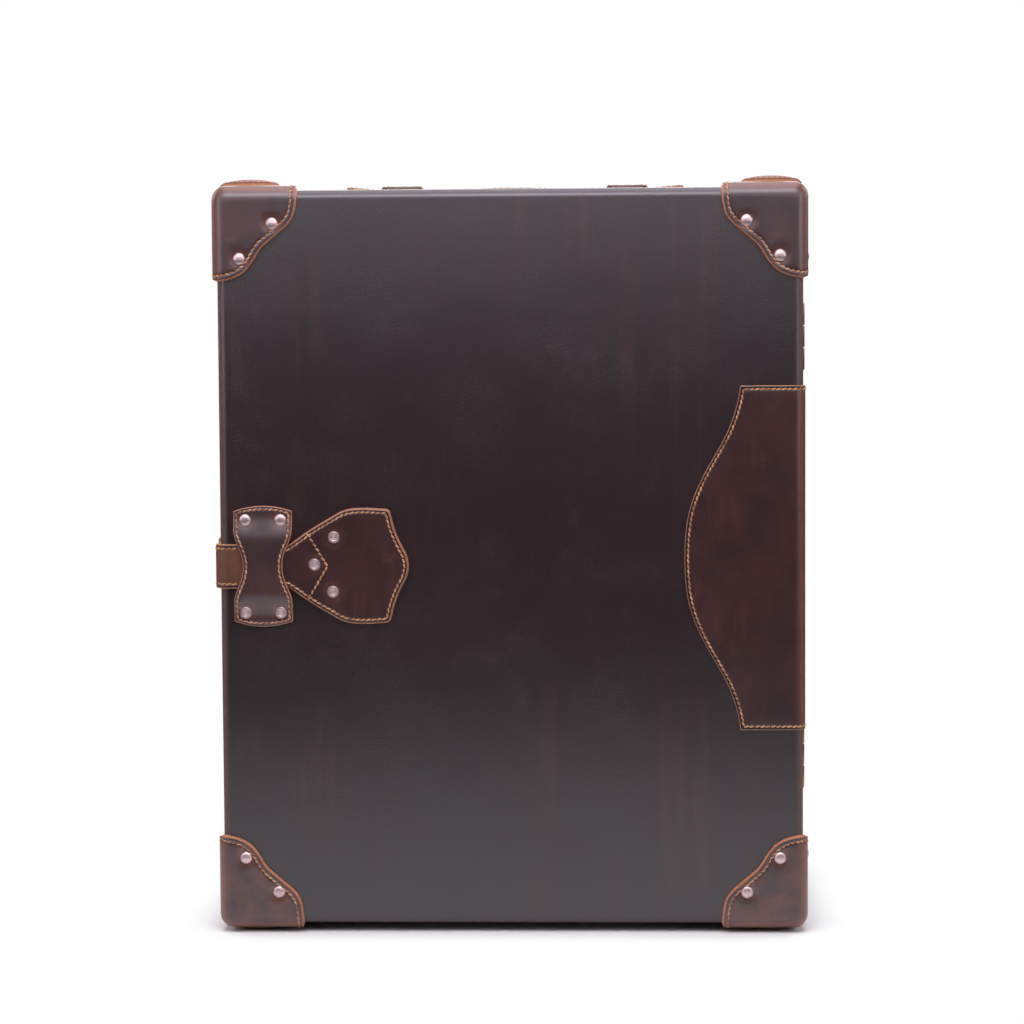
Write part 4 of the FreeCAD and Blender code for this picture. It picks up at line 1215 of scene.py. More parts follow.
# ---- corner guards
@dataclass
class CornerGuard:
    """One moulded corner guard of two sewn layers, in its own corner frame.

    The case's corner lies at the origin and the case inside +X+Y+Z.
    """

    reach: tuple[float, float, float] = (66.4, 58.0, 73.8)
    rivets: tuple[Flat, Flat] = ((0.693, 0.37), (0.289, 0.752))
    seat: float = 3.0
    thickness: float = 4.0
    base_t: float = 1.7
    edge_step: float = 0.8
    stitch_inset: float = 4.6
    edge_r: float = 8.0
    dent: float = 1.1
    dent_r: float = 7.2
    ring_r: float = 10.0
    steps: int = 54
    depth_steps: int = 18

    def outline(self, kind: int) -> np.ndarray:
        """The two lobes of one flap, from its end on u to its end on v.

        Args:
            kind: The flap, as on_corner takes it.

        Returns:
            Points of the outline, even along it.
        """
        knots = [(1.0, -0.35), (1.0, 0.0), (0.994, 0.10), (0.982, 0.19), (0.958, 0.275),
                 (0.915, 0.345), (0.855, 0.405), (0.76, 0.478), (0.66, 0.555), (0.575, 0.62),
                 (0.515, 0.69), (0.471, 0.757), (0.42, 0.825), (0.35, 0.893), (0.25, 0.95),
                 (0.13, 0.985), (0.0, 1.0), (-0.3, 1.0)]
        return even_run(smooth_run(np.array(knots) * self.reaches(kind), 12), 240)

    def on_corner(self, kind: int, u: float, v: float, height: float) -> Vector:
        """The place over the rounded corner of a flat place on a flap.

        Args:
            kind: 0 for the flap on the front, 1 on the side, 2 on the top or bottom.
            u, v: The flat place from the sharp corner.
            height: Height over the case's skin.

        Returns:
            The place in the corner frame.
        """
        sharp = (Vector((u, 0, v)), Vector((0, u, v)), Vector((u, v, 0)))[kind]
        inner = Vector([max(c, self.edge_r) for c in sharp])
        away = (sharp - inner).normalized()
        return inner + away * (self.edge_r + height)

    def reaches(self, kind: int) -> Flat:
        """How far the flap of this kind reaches along its two edges."""
        x, y, z = self.reach
        return ((x, z), (y, z), (x, y))[kind]

    def layer(self, inset: float, low: float, sections: list[Station], rubbed: bool) -> BMesh:
        """One layer of the guard.

        Args:
            inset: How far its outline lies inside the guard's.
            low: Height of its underside.
            sections: Its edge section.
            rubbed: Whether it is the outer one, with the hollows and rings of the rivets.

        Returns:
            The mesh.
        """
        mesh = bmesh.new()
        rim, cut, halo, bend = value_layers(mesh)
        for kind in range(3):
            outline, (reach_u, reach_v) = self.outline(kind), self.reaches(kind)
            rays = self._rays(outline, self.steps)
            rivets = [(u * reach_u, v * reach_v) for u, v in self.rivets if rubbed and kind < 2]
            top = (sections, self.depth_steps if rubbed else 4, rivets)
            for skin, depth, dents in (top, (sections[:1], 4, [])):
                for vert, (u, v), height, sliced, away in fan(mesh, outline, rays, inset, skin,
                                                              depth):
                    for dent_u, dent_v in dents:
                        apart = math.hypot(u - dent_u, v - dent_v)
                        height -= self.dent * math.exp(-(apart / self.dent_r) ** 4)
                        vert[halo] = max(vert[halo], 1 - min(1.0, apart / self.ring_r) ** 2)
                    vert.co = self.on_corner(kind, u, v, low + height)
                    out = self.on_corner(kind, u, v, low + height + 1.0) - vert.co
                    vert[rim], vert[cut], vert[bend] = away, sliced, bend_of(out)
        close_up(mesh, 0.002, 0.001)
        return mesh

    @staticmethod
    def _rays(outline: np.ndarray, steps: int) -> np.ndarray:
        """Points of a flap's outline between its two edges, spread evenly along it."""
        inner = outline[(outline[:, 0] >= -1e-6) & (outline[:, 1] >= -1e-6)]
        ends = (inner[0][0], 0.0), (0.0, inner[-1][1])
        return even_run(np.vstack([ends[0], inner, ends[1]]), steps + 1)

    def draw(self) -> BMesh:
        """Both layers with their seam; leather is material 0, thread 1, the holes' painted shade 2.
        """
        mesh = bmesh.new()
        base_section = edge_section(self.base_t, groove=None, round_r=0.5)
        base_section[-1] = Station(0.55, self.base_t - 0.06, 0.8)
        cover_section = edge_section(self.thickness - self.base_t,
                                     self.stitch_inset - self.edge_step, 0.8, 0.8, 0.4)
        pour(mesh, self.layer(0.0, 0.0, base_section, False))
        pour(mesh, self.layer(self.edge_step, self.base_t, cover_section, True))
        seam = Seam()
        for kind in range(3):
            outline = self.outline(kind)
            run = inset_run(outline, self._rays(outline, 60), self.stitch_inset)
            seam.sew(mesh, [run], partial(self.on_corner, kind), self.thickness - 0.35)
        return mesh


@dataclass
class Gusset:
    """The arched round that closes a guard's folds, in the corner frame."""

    guard: CornerGuard
    centre: Flat = (25.6, 28.0)
    radii: Flat = (24.0, 19.0)
    rise: float = 3.15

    def crown(self, share: float) -> float:
        """Height over the guard, by the distance from the middle as a share of the radius."""
        knots = [(0.0, 1.0), (0.15, 0.99), (0.3, 0.955), (0.5, 0.87), (0.68, 0.74), (0.78, 0.62),
                 (0.815, 0.5), (0.85, 0.5), (0.89, 0.53), (0.95, 0.42), (0.985, 0.24), (1.0, 0.0),
                 (1.02, -0.1)]
        return self.rise * float(np.interp(share, *zip(*knots)))

    def spot(self, share: float, turn: float) -> Flat:
        """The flat place at a share of the radius and a turn round the middle."""
        return (self.centre[0] + self.radii[0] * share * math.cos(turn),
                self.centre[1] + self.radii[1] * share * math.sin(turn))

    def draw(self) -> BMesh:
        """A crowned round with a sewn rim that follows the rounded corner."""
        mesh = bmesh.new()
        rim, cut, _, _ = value_layers(mesh)
        place = partial(self.guard.on_corner, 2)
        rings = (0.001, 0.15, 0.3, 0.4, 0.5, 0.6, 0.68, 0.74, 0.78, 0.815, 0.85, 0.89, 0.92, 0.95,
                 0.985, 1.0, 1.02)
        for vert, _, ring in grid(mesh, 48, len(rings) - 1):
            share = rings[ring]
            vert.co = place(*self.spot(share, (vert.co.x + 1) * math.pi),
                            self.guard.thickness - 0.1 + self.crown(share))
            vert[rim] = (rings[-1] - share) * self.radii[0]
            vert[cut] = 1.0 if share > 0.96 else 0.0
        close_up(mesh, near=0.05)
        lowest = min(mesh.faces, key=lambda face: face.calc_center_median().z)
        if lowest.normal.z > 0:
            bmesh.ops.reverse_faces(mesh, faces=mesh.faces)
        run = [self.spot(0.832, turn) for turn in np.linspace(0, 2 * math.pi, 73)]
        Seam(4.4).sew(mesh, [run], place, self.guard.thickness + 0.5 * self.rise)
        return mesh


@dataclass
class HalfCorners:
    """The guards, gussets and rivets of one half."""

    prefix: str
    body: str
    side: int
    trunk: Trunk = TRUNK

    def frames(self) -> Iterable[tuple[str, bool, Matrix]]:
        """The corner frames of the four corners.

        Returns:
            The side that each corner is on, whether it is an upper one, and its matrix.
        """
        trunk = self.trunk
        for across, sign_x in (("left", 1), ("right", -1)):
            for sign_z, z in ((1, trunk.bottom_z), (-1, trunk.top_z)):
                corner = (-sign_x * trunk.side_x, trunk.face_y(self.side), z)
                scale = Matrix.Diagonal((sign_x, -self.side, sign_z, 1))
                yield across, sign_z < 0, Matrix.Translation(corner) @ scale

    def build(self, guard: BMesh, gussets: tuple[BMesh, BMesh]) -> list[Matrix]:
        """Place the guards and gussets.

        Args:
            guard: One guard in the corner frame.
            gussets: A lower and an upper gusset in the corner frame.

        Returns:
            Where the guards' rivets stand.
        """
        pairs = {"left": bmesh.new(), "right": bmesh.new()}
        pads = bmesh.new()
        stands = []
        x, y, z = CornerGuard.reach
        seat = -CornerGuard.seat
        for across, upper, matrix in self.frames():
            pour(pairs[across], guard, matrix)
            pour(pads, gussets[upper], matrix)
            for share, share_z in CornerGuard.rivets:
                for spot, out in (((share * x, seat, share_z * z), (0, -1, 0)),
                                  ((seat, share * y, share_z * z), (-1, 0, 0))):
                    stands.append(facing(matrix @ Vector(spot), matrix.to_3x3() @ Vector(out)))
        for across, mesh in pairs.items():
            name = f"{self.prefix}_guards_{across}"
            finish_piece(mesh, f"{name}_sewn", [TRIM, THREAD, HOLE_SHADE], self.body, "trim_leather",
                         name, recalculate=False)
        finish_piece(pads, f"{self.prefix}_gussets_sewn", [GUSSET, THREAD, HOLE_SHADE], self.body,
                     "trim_leather", f"{self.prefix}_gussets", recalculate=False)
        return stands


# ---- rivets
class Crown(Enum):
    """The section of a cap from its middle out, as shares of its radius and rise."""

    DOMED = ((0.0, 1.0), (0.2, 0.985), (0.4, 0.93), (0.58, 0.83), (0.74, 0.69), (0.87, 0.5),
             (0.96, 0.28), (1.0, 0.1), (1.0, 0.0))
    DISHED = ((0.0, 0.62), (0.16, 0.64), (0.24, 0.72), (0.32, 0.66), (0.48, 0.66), (0.56, 0.76),
              (0.66, 0.84), (0.8, 0.8), (0.92, 0.56), (1.0, 0.2), (1.0, 0.0))


@dataclass
class Rivet:
    """A rivet's cap."""

    radius: float = 5.1
    rise: float = 2.3
    crown: Crown = Crown.DOMED

    def shape(self) -> BMesh:
        """The cap, standing on the ground plane."""
        return spun([(r * self.radius, h * self.rise) for r, h in self.crown.value])


def caps_piece(name: str, body: str, node: str, *caps: tuple[Rivet, Sequence[Matrix]]) -> None:
    """Rivet caps as one piece.

    Args:
        name: The piece's name.
        body: The body that it rides on.
        node: The CAD node that it replaces.
        caps: Each kind of rivet with the places where it stands.
    """
    mesh = bmesh.new()
    for rivet, stands in caps:
        cap = rivet.shape()
        for place in stands:
            pour(mesh, cap, place)
    finish_piece(mesh, name, [NICKEL], body, "rivet_metal", node)


# ---- straps
@dataclass(frozen=True)
class Keeper:
    """A bow-tie keeper, sewn all round and held by four rivets.

    Attributes:
        width, waist, length: Its size across its ends, across its middle and along.
        thickness: The leather's thickness.
        rivet: Where a rivet lies from its middle.
        seam, pitch: Inset of its seam and length of a stitch.
        round_r: Rounding of its edge.
        halo: Radius of the rubbed rings round the rivets.
        lines: Grid steps across and along.
        flare: Share of its half length over which it widens.
        ease: How it widens, from 0 at the middle to 1.
        crown: How far its ends bow out.
    """

    width: float
    waist: float
    length: float
    thickness: float
    rivet: Flat
    seam: float
    pitch: float
    round_r: float
    halo: float
    lines: tuple[int, int]
    flare: float
    ease: Callable[[float], float]
    crown: float = 4.3

    def side(self, v: float) -> float:
        """Half the width at a length from the middle."""
        share = min(1.0, abs(v) / ((self.length / 2 - self.crown) * self.flare))
        return (self.waist + (self.width - self.waist) * self.ease(share)) / 2

    def end(self, across: float) -> float:
        """Length from the middle to the bowed end."""
        return self.length / 2 - self.crown * across * across

    def spots(self) -> list[Flat]:
        """Where the rivets lie."""
        return [(u * self.rivet[0], v * self.rivet[1]) for u in (-1, 1) for v in (-1, 1)]

    def draw(self, place: Place) -> BMesh:
        """The keeper with its seam, bent into place."""
        section = edge_section(self.thickness, self.seam, self.round_r, 0.7, 0.4)
        panel = Panel(lambda v: -self.side(v), self.side, lambda a: -self.end(a), self.end,
                      *(lines_across(section, section, count) for count in self.lines))
        mesh = panel.draw(place, [(u, v, self.halo) for u, v in self.spots()])
        Seam(self.pitch).sew(mesh, panel.seam(self.seam), place, self.thickness - 0.3)
        return mesh


def ribbon(path: Run, half_w: float, thick: float, groove: float, ends: Sequence[Station],
           steps: int, place: Place) -> BMesh:
    """A narrow piece of leather bent along a path and sewn along both sides.

    Args:
        path: The run of its underside.
        half_w, thick: Half its width, and its thickness.
        groove: Inset of its seams.
        ends: Section of its ends; empty where they are cut as the sides are.
        steps: Grid steps along it.
        place: Takes a place across, along and over the path to a place in the model.

    Returns:
        The mesh.
    """
    section = edge_section(thick, groove, 0.7, 0.5, 0.25)
    ends = ends or section
    panel = Panel(lambda v: -half_w, lambda v: half_w, lambda a: 0.0, lambda a: path.length,
                  lines_across(section, section, 4), lines_across(ends, ends, steps))
    mesh = panel.draw(place)
    Seam(3.6, 0.45).sew(mesh, panel.seam(groove, "lr"), place, thick - 0.2)
    return mesh


@dataclass
class Latch:
    """Keeper, strap with its tail, loop and two-layer shield on the lid.

    Attributes:
        keeper, keeper_x: The keeper over the strap, and the middle of both.
        strap_half, strap_t: Half the strap's width, and its thickness.
        tail_end_y: Where the strap's free end lies.
        tail_y, tail_clear: Where the tail leaves the case, and by how much.
        button_y: Where the magnetic button sits.
        loop_y, loop_half: Where the loop lies on the side, and half its width.
        tip_x: Where the shield ends.
        shield_l, shield_half: The lengths that its outline is a share of.
        neck_half: Half its width at the keeper.
        layer_t, step: Thickness of a layer, and how far the upper one lies inside.
        shield_seam: How far its seam lies inside the upper layer.
        dished: Where the dished rivets stand, once it is built.
    """

    trunk: Trunk = TRUNK
    keeper: Keeper = Keeper(
        width=47.7, waist=32.0, length=98.7, thickness=2.6, rivet=(14.4, 37.8), seam=2.7,
        pitch=4.2, round_r=0.8, halo=10.0, lines=(10, 44), flare=0.74,
        ease=lambda share: (1 - math.cos(math.pi * share ** 1.15)) / 2)
    keeper_x: float = -201.7
    strap_half: float = 18.0
    strap_t: float = 4.0
    tail_end_y: float = 33.0
    tail_y: float = -33.0
    tail_clear: float = 0.4
    button_y: float = 15.0
    loop_y: float = -99.0
    loop_half: float = 7.0
    tip_x: float = -82.9
    shield_l: float = 71.0
    shield_half: float = 47.4
    neck_half: float = 15.5
    layer_t: float = 2.2
    step: float = 0.8
    shield_seam: float = 2.7
    dished: list[Matrix] = field(default_factory=list)

    @property
    def flat_run(self) -> float:
        """Length of the strap from the keeper's middle to the rounded edge."""
        return self.keeper_x + self.trunk.side_x - self.trunk.edge_r

    @property
    def centre(self) -> np.ndarray:
        """The flat place on the shield that its grid runs to."""
        return np.array([self.tip_x - 0.72 * self.shield_l, 0.0])

    def build(self) -> list[Matrix]:
        """Make the latch.

        Returns:
            Where the keeper's upper rivets stand; the lower ones and the shield's are dished.
        """
        stands = self._keeper()
        self._strap()
        self._loop()
        self.dished += self._shield()
        return stands

    def _hump(self, away: float) -> float:
        """How far the keeper's underside stands off the lid, by the distance from its middle."""
        full, foot = self.strap_half + 0.4, self.strap_half + 27.0
        share = min(1.0, max(0.0, (foot - abs(away)) / (foot - full)))
        soft = 0.3
        if share < soft:
            eased = share * share / (2 * soft * (1 - soft))
        elif share > 1 - soft:
            eased = 1 - (1 - share) ** 2 / (2 * soft * (1 - soft))
        else:
            eased = (share - soft / 2) / (1 - soft)
        return (self.strap_t + 0.1) * eased

    def _keeper_place(self, u: float, v: float, height: float) -> Vector:
        """On the keeper: u along X from its middle, v along Z."""
        return Vector((self.keeper_x + u, self.trunk.front_y - self._hump(v) - height,
                       self.trunk.latch_z + v))

    def _keeper(self) -> list[Matrix]:
        """The keeper, and where its upper rivets stand."""
        finish_piece(self.keeper.draw(self._keeper_place), "latch_keeper_sewn",
                     [TRIM, THREAD, HOLE_SHADE], "lid", "trim_leather", "latch_keeper",
                     recalculate=False)
        stands = [facing(self._keeper_place(u, v, self.keeper.thickness - 0.9), (0, -1, 0))
                  for u, v in self.keeper.spots()]
        self.dished = stands[::2]
        return stands[1::2]

    def _strap_place(self, across: float, run: float, height: float) -> Vector:
        """On the strap: its run starts at the keeper's middle and goes back round the edge."""
        trunk, r, z = self.trunk, self.trunk.edge_r, self.trunk.latch_z + across
        turn = r * math.pi / 2
        if run < self.flat_run:
            return Vector((self.keeper_x - run, trunk.front_y - height, z))
        if run < self.flat_run + turn:
            angle = (run - self.flat_run) / r
            reach = r + height
            return Vector((-trunk.side_x + r - reach * math.sin(angle),
                           trunk.front_y + r - reach * math.cos(angle), z))
        y = trunk.front_y + r + (run - self.flat_run - turn)
        lift = self.tail_clear if y > self.tail_y and height < 1.0 else 0.0
        return Vector((-trunk.side_x - height - lift, y, z))

    def _strap(self) -> None:
        """The strap from the keeper round the edge, with its rounded free end."""
        trunk, thick, groove = self.trunk, self.strap_t, 3.6
        length = (self.flat_run + trunk.edge_r * math.pi / 2 + self.tail_end_y - trunk.front_y
                  - trunk.edge_r)

        def end(across: float) -> float:
            """The rounded nose of the tail."""
            return length - self.strap_half * (1 - math.sqrt(max(0.0, 1 - across * across)))

        section = edge_section(thick, groove, 1.0, 0.7, 0.35)
        blunt = [Station(0.0, 0.0, 1.0), Station(0.0, thick - 0.6, 1.0), Station(0.6, thick)]
        panel = Panel(lambda v: -self.strap_half, lambda v: self.strap_half, lambda a: 0.0, end,
                      lines_across(section, section, 6), lines_across(blunt, blunt, 104))
        mesh = panel.draw(self._strap_place)
        runs = [[spot for spot in run if spot[1] > 20.0] for run in panel.seam(groove, "lr", 160)]
        Seam(4.8).sew(mesh, runs, self._strap_place, thick - 0.25)
        made = finish_piece(mesh, "latch_strap_whole", [STRAP, THREAD, HOLE_SHADE], None,
                            "strap_leather", "latch_strap", "strap_tail", recalculate=False)
        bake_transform(made)
        button = facing((-trunk.side_x - thick - 0.1, self.button_y, trunk.latch_z), (-1, 0, 0))
        caps_piece("strap_tail_cap", "strap_tail", "strap_tail_button",
                   (Rivet(7.0, 2.6), [button]))

    def _loop(self) -> None:
        """The little loop that holds the strap to the side."""
        over, foot, half, thick = 4.6, 2.3, self.strap_half + 0.2, 2.4
        path = rounded_path([(0.0, half + foot), (0.0, half + 0.05), (over, half + 0.05),
                             (over, -half - 0.05), (0.0, -half - 0.05), (0.0, -half - foot)], 0.8)

        def place(across: float, run: float, height: float) -> Vector:
            """Round the strap."""
            out, up = path.at(run, height)
            return Vector((-self.trunk.side_x - out, self.loop_y + across,
                           self.trunk.latch_z + up))

        blunt = [Station(0.0, 0.0, 1.0), Station(0.0, thick, 0.3)]
        mesh = ribbon(path, self.loop_half, thick, 2.0, blunt, 60, place)
        finish_piece(mesh, "latch_loop_sewn", [SHIELD, THREAD, HOLE_SHADE], "lid", "trim_leather",
                     "latch_strap_loop", recalculate=False)

    def shield_outline(self) -> np.ndarray:
        """The shield with its neck, as a closed run of flat points round its centre.

        Returns:
            Points in X and in height, even along it.
        """
        neck = self.neck_half
        knots = ((1.62, neck), (1.43, neck + 0.8), (1.33, 20.0), (1.2, 26.6), (1.05, 33.4),
                 (0.9, 39.6), (0.78, 44.4), (0.66, 46.8), (0.5, 47.4), (0.36, 46.9),
                 (0.235, 46.0), (0.205, 42.5), (0.165, 31.5), (0.105, 20.5), (0.031, 10.4),
                 (0.008, 5.0), (0.0, 0.0))
        upper = [(self.keeper_x, neck)]
        upper += [(self.tip_x - self.shield_l * share, z) for share, z in knots]
        lower = [(x, -z) for x, z in upper[-2::-1]]
        outline = even_run(smooth_run(np.array(upper + lower, float), 8), 200)
        return np.vstack([outline, outline[:1]]) - self.centre

    def _shield_place(self, u: float, v: float, height: float) -> Vector:
        """On the shield: u along X, v over the latch's line."""
        return Vector((u, self.trunk.front_y - height, self.trunk.latch_z + v))

    def _shield_layer(self, inset: float, low: float, sections: list[Station],
                      spots: Sequence[Flat]) -> BMesh:
        """One layer of the shield.

        Args:
            inset: How far its outline lies inside the shield's.
            low: Height of its underside.
            sections: Its edge section.
            spots: Where its rivets press a hollow and rub a ring.

        Returns:
            The mesh.
        """
        outline = self.shield_outline()
        dent, dent_r, ring_r, depth = 0.7, 7.4, 11.0, 12
        mesh = bmesh.new()
        rim, cut, halo, _ = value_layers(mesh)
        for full in (1.0, 0.0):
            for vert, spot, height, sliced, away in fan(mesh, outline, outline, inset, sections,
                                                        depth):
                u, v = self.centre + spot
                height *= full
                for rivet_u, rivet_v in spots:
                    apart = math.hypot(u - rivet_u, v - rivet_v)
                    vert[halo] = max(vert[halo], 1 - min(1.0, apart / ring_r) ** 2)
                    height -= dent * math.exp(-(apart / dent_r) ** 4) * min(1.0, height)
                vert.co = self._shield_place(u, v, low + height)
                vert[rim], vert[cut] = away, sliced
        close_up(mesh, 0.002, 0.001)
        return mesh

    def _shield(self) -> list[Matrix]:
        """The two layers with their seams, and where the rivets stand."""
        tip, run, top = self.tip_x, self.shield_l, 2 * self.layer_t
        spots = [(tip - run * u, self.shield_half * v)
                 for u, v in ((0.855, 0.50), (1.08, 0.03), (0.87, -0.44))]
        back_section = edge_section(self.layer_t, None, 0.6)
        back_section[-1] = Station(0.6, self.layer_t - 0.06, 0.6)
        face_section = edge_section(self.layer_t, self.shield_seam, 0.8, 0.7, 0.35)
        back = self._shield_layer(0.0, 0.0, back_section, ())
        face = self._shield_layer(self.step, self.layer_t, face_section, spots)
        outline = self.shield_outline()
        edge = inset_run(outline, outline, self.step + self.shield_seam) + self.centre
        seam = Seam(4.3)
        seam.sew(face, [edge[edge[:, 0] > self.keeper_x + 17.0]], self._shield_place, top - 0.3)
        apex = (tip - run * 0.93, 0.0)
        vee = [np.linspace((tip - run * 1.16, 27.0), apex, 20),
               np.linspace(apex, (tip - run * 1.155, -27.0), 20)]
        seam.sew(face, vee, self._shield_place, top - 0.1)
        finish_piece(back, "latch_shield_back", [SHIELD], "lid", "trim_leather",
                     "latch_shield_backing", recalculate=False)
        finish_piece(face, "latch_shield_front", [SHIELD, THREAD, HOLE_SHADE], "lid", "trim_leather",
                     "latch_shield_face", recalculate=False)
        return [facing(self._shield_place(u, v, top - 0.8), (0, -1, 0)) for u, v in spots]


# ---- spine patch
@dataclass
class SpinePatch:
    """One half's part of the leather patch over the hinge side."""

    prefix: str
    body: str
    side: int
    trunk: Trunk = TRUNK
    height: float = 280.0
    thickness: float = 1.8
    belly: float = 96.6
    shoulder: float = 51.0
    groove: float = 3.0

    def reach(self, v: float) -> float:
        """How far the patch reaches on to the face, by the height from its middle."""
        knots = np.array([(0.0, 1.0), (0.12, 0.985), (0.25, 0.93), (0.375, 0.81), (0.5, 0.63),
                          (0.64, 0.385), (0.755, 0.205), (0.88, 0.075), (1.0, 0.0)])
        share = np.interp(abs(v) / (self.height / 2), *smooth_run(knots, 10).T)
        return self.shoulder + (self.belly - self.shoulder) * float(share)

    def place(self, run: float, v: float, height: float) -> Vector:
        """On the patch: run 0 at the case's edge, negative on the face, positive on the side."""
        trunk, r = self.trunk, self.trunk.edge_r
        face_y = trunk.face_y(self.side)
        z = trunk.middle_z + v
        flat_run = -r * math.pi / 4
        if run < flat_run:
            return Vector((trunk.side_x - r + run - flat_run, face_y + self.side * height, z))
        if run < -flat_run:
            angle = (run - flat_run) / r
            return Vector((trunk.side_x - r + (r + height) * math.sin(angle),
                           face_y - self.side * (r - (r + height) * math.cos(angle)), z))
        return Vector((trunk.side_x + height, face_y - self.side * (r + run + flat_run), z))

    def build(self) -> None:
        """Make the patch with its seam."""
        trunk, r, thick = self.trunk, self.trunk.edge_r, self.thickness
        bend = r - r * math.pi / 4
        depth = abs(trunk.part_y + self.side * 0.4 - trunk.face_y(self.side)) - bend
        section = edge_section(thick, self.groove, 0.7, 0.7, 0.35)
        blunt = [Station(0.0, 0.0, 1.0), Station(0.0, thick - 0.4, 1.0), Station(0.4, thick, 0.2)]
        panel = Panel(lambda v: -self.reach(v) + bend, lambda v: depth,
                      lambda a: -self.height / 2, lambda a: self.height / 2,
                      lines_across(section, blunt, 84 if self.side < 0 else 100),
                      lines_across(section, section, 64))
        mesh = panel.draw(self.place)
        Seam(4.3).sew(mesh, panel.seam(self.groove, "lbt", 120), self.place, thick - 0.25)
        finish_piece(mesh, f"{self.prefix}_spine_patch_sewn", [SHIELD, THREAD, HOLE_SHADE], self.body,
                     "trim_leather", f"{self.prefix}_spine_patch")


# ---- hinges
@dataclass
class Hinges:
    """Two butt hinges with slotted screws."""

    trunk: Trunk = TRUNK
    levels: tuple[float, float] = (128.2, 486.2)
    height: float = 57.0
    leaf: float = 26.0
    leaf_t: float = 1.6
    out: float = 5.0
    knuckle_r: float = 4.2

    def build(self) -> None:
        """Make leaves, screws and pins."""
        x, y = self.trunk.side_x, self.trunk.part_y
        for side, prefix, body in ((-1, "lid", "lid"), (1, "back", "back_half")):
            leaves, screws = bmesh.new(), bmesh.new()
            for level in self.levels:
                self._leaf(leaves, side, level)
                for share in (-0.36, 0.0, 0.36):
                    spot = (x + self.leaf_t, y + side * self.leaf * 0.66,
                            level + share * self.height)
                    pour(screws, self._screw(), facing(spot, (1, 0, 0), share * 4.0))
            finish_piece(leaves, f"{prefix}_hinge_plates", [BRASS], body, "steel",
                         f"{prefix}_hinge_leaves")
            finish_piece(screws, f"{prefix}_hinge_slotted_screws", [STEEL], body, "steel",
                         f"{prefix}_hinge_screws")
        pins = bmesh.new()
        pin = spun_bar([(0.0, -2.0), (1.6, -1.9), (2.8, -1.4), (3.4, -0.5), (3.4, 0.0),
                        (2.0, 0.0)], -self.height / 2, self.height / 2, 20)
        for level in self.levels:
            pour(pins, pin, Matrix.Translation((x + self.out, y, level)))
        finish_piece(pins, "hinge_round_pins", [BRASS], "back_half", "steel", "hinge_pins")

    def _leaf(self, target: BMesh, side: int, level: float) -> None:
        """One leaf with its knuckles: the lid has the middle one, the back the other two.

        Args:
            target: The mesh that takes it.
            side: -1 for the lid, 1 for the back.
            level: Height of the hinge's middle.
        """
        low, third, r = level - self.height / 2, self.height / 3, self.knuckle_r
        near = r + 0.6
        pour(target, self._plate(side, near, self.leaf, low, low + self.height, 0.5))
        own, gap, clear = ((1,), 0.2, 0.3) if side < 0 else ((0, 2), 0.0, 0.0)
        for index in own:
            start, end = low + index * third + gap, low + (index + 1) * third - gap
            pour(target, self._plate(side, 0.0, near + 1, start + clear, end - clear, 0.15))
            barrel = spun_bar([(2.1, 0.2), (r - 0.5, 0.2), (r - 0.15, 0.35), (r, 0.7)], start, end,
                              24)
            pour(target, barrel, Matrix.Translation((self.trunk.side_x + self.out,
                                                     self.trunk.part_y, 0)))

    def _plate(self, side: int, near: float, far: float, low: float, high: float, bevel: float
               ) -> BMesh:
        """A plate on the case's side, between two distances from the parting line."""
        x, y = self.trunk.side_x, self.trunk.part_y
        first, last = sorted((side * near, side * far))
        return box_mesh(Vector((x, y + first, low)), Vector((x + self.leaf_t, y + last, high)),
                        bevel)

    @staticmethod
    def _screw() -> BMesh:
        """A slotted screw head."""
        slot = 0.28
        mesh = bmesh.new()
        for sign in (-1, 1):
            half = spun([(0.0, 0.85), (1.2, 0.8), (2.1, 0.5), (2.6, 0.0)], 16)
            cut_across(half, (0, sign * slot, 0), (0, -sign, 0), clear_outer=True)
            lip = [e for e in half.edges if e.is_boundary and e.calc_length() > 0
                   and all(abs(v.co.y - sign * slot) < 1e-3 for v in e.verts)]
            for vert in only(BMVert, bmesh.ops.extrude_edge_only(half, edges=lip)["geom"]):
                vert.co.z = 0.0
            pour(mesh, half)
        return mesh


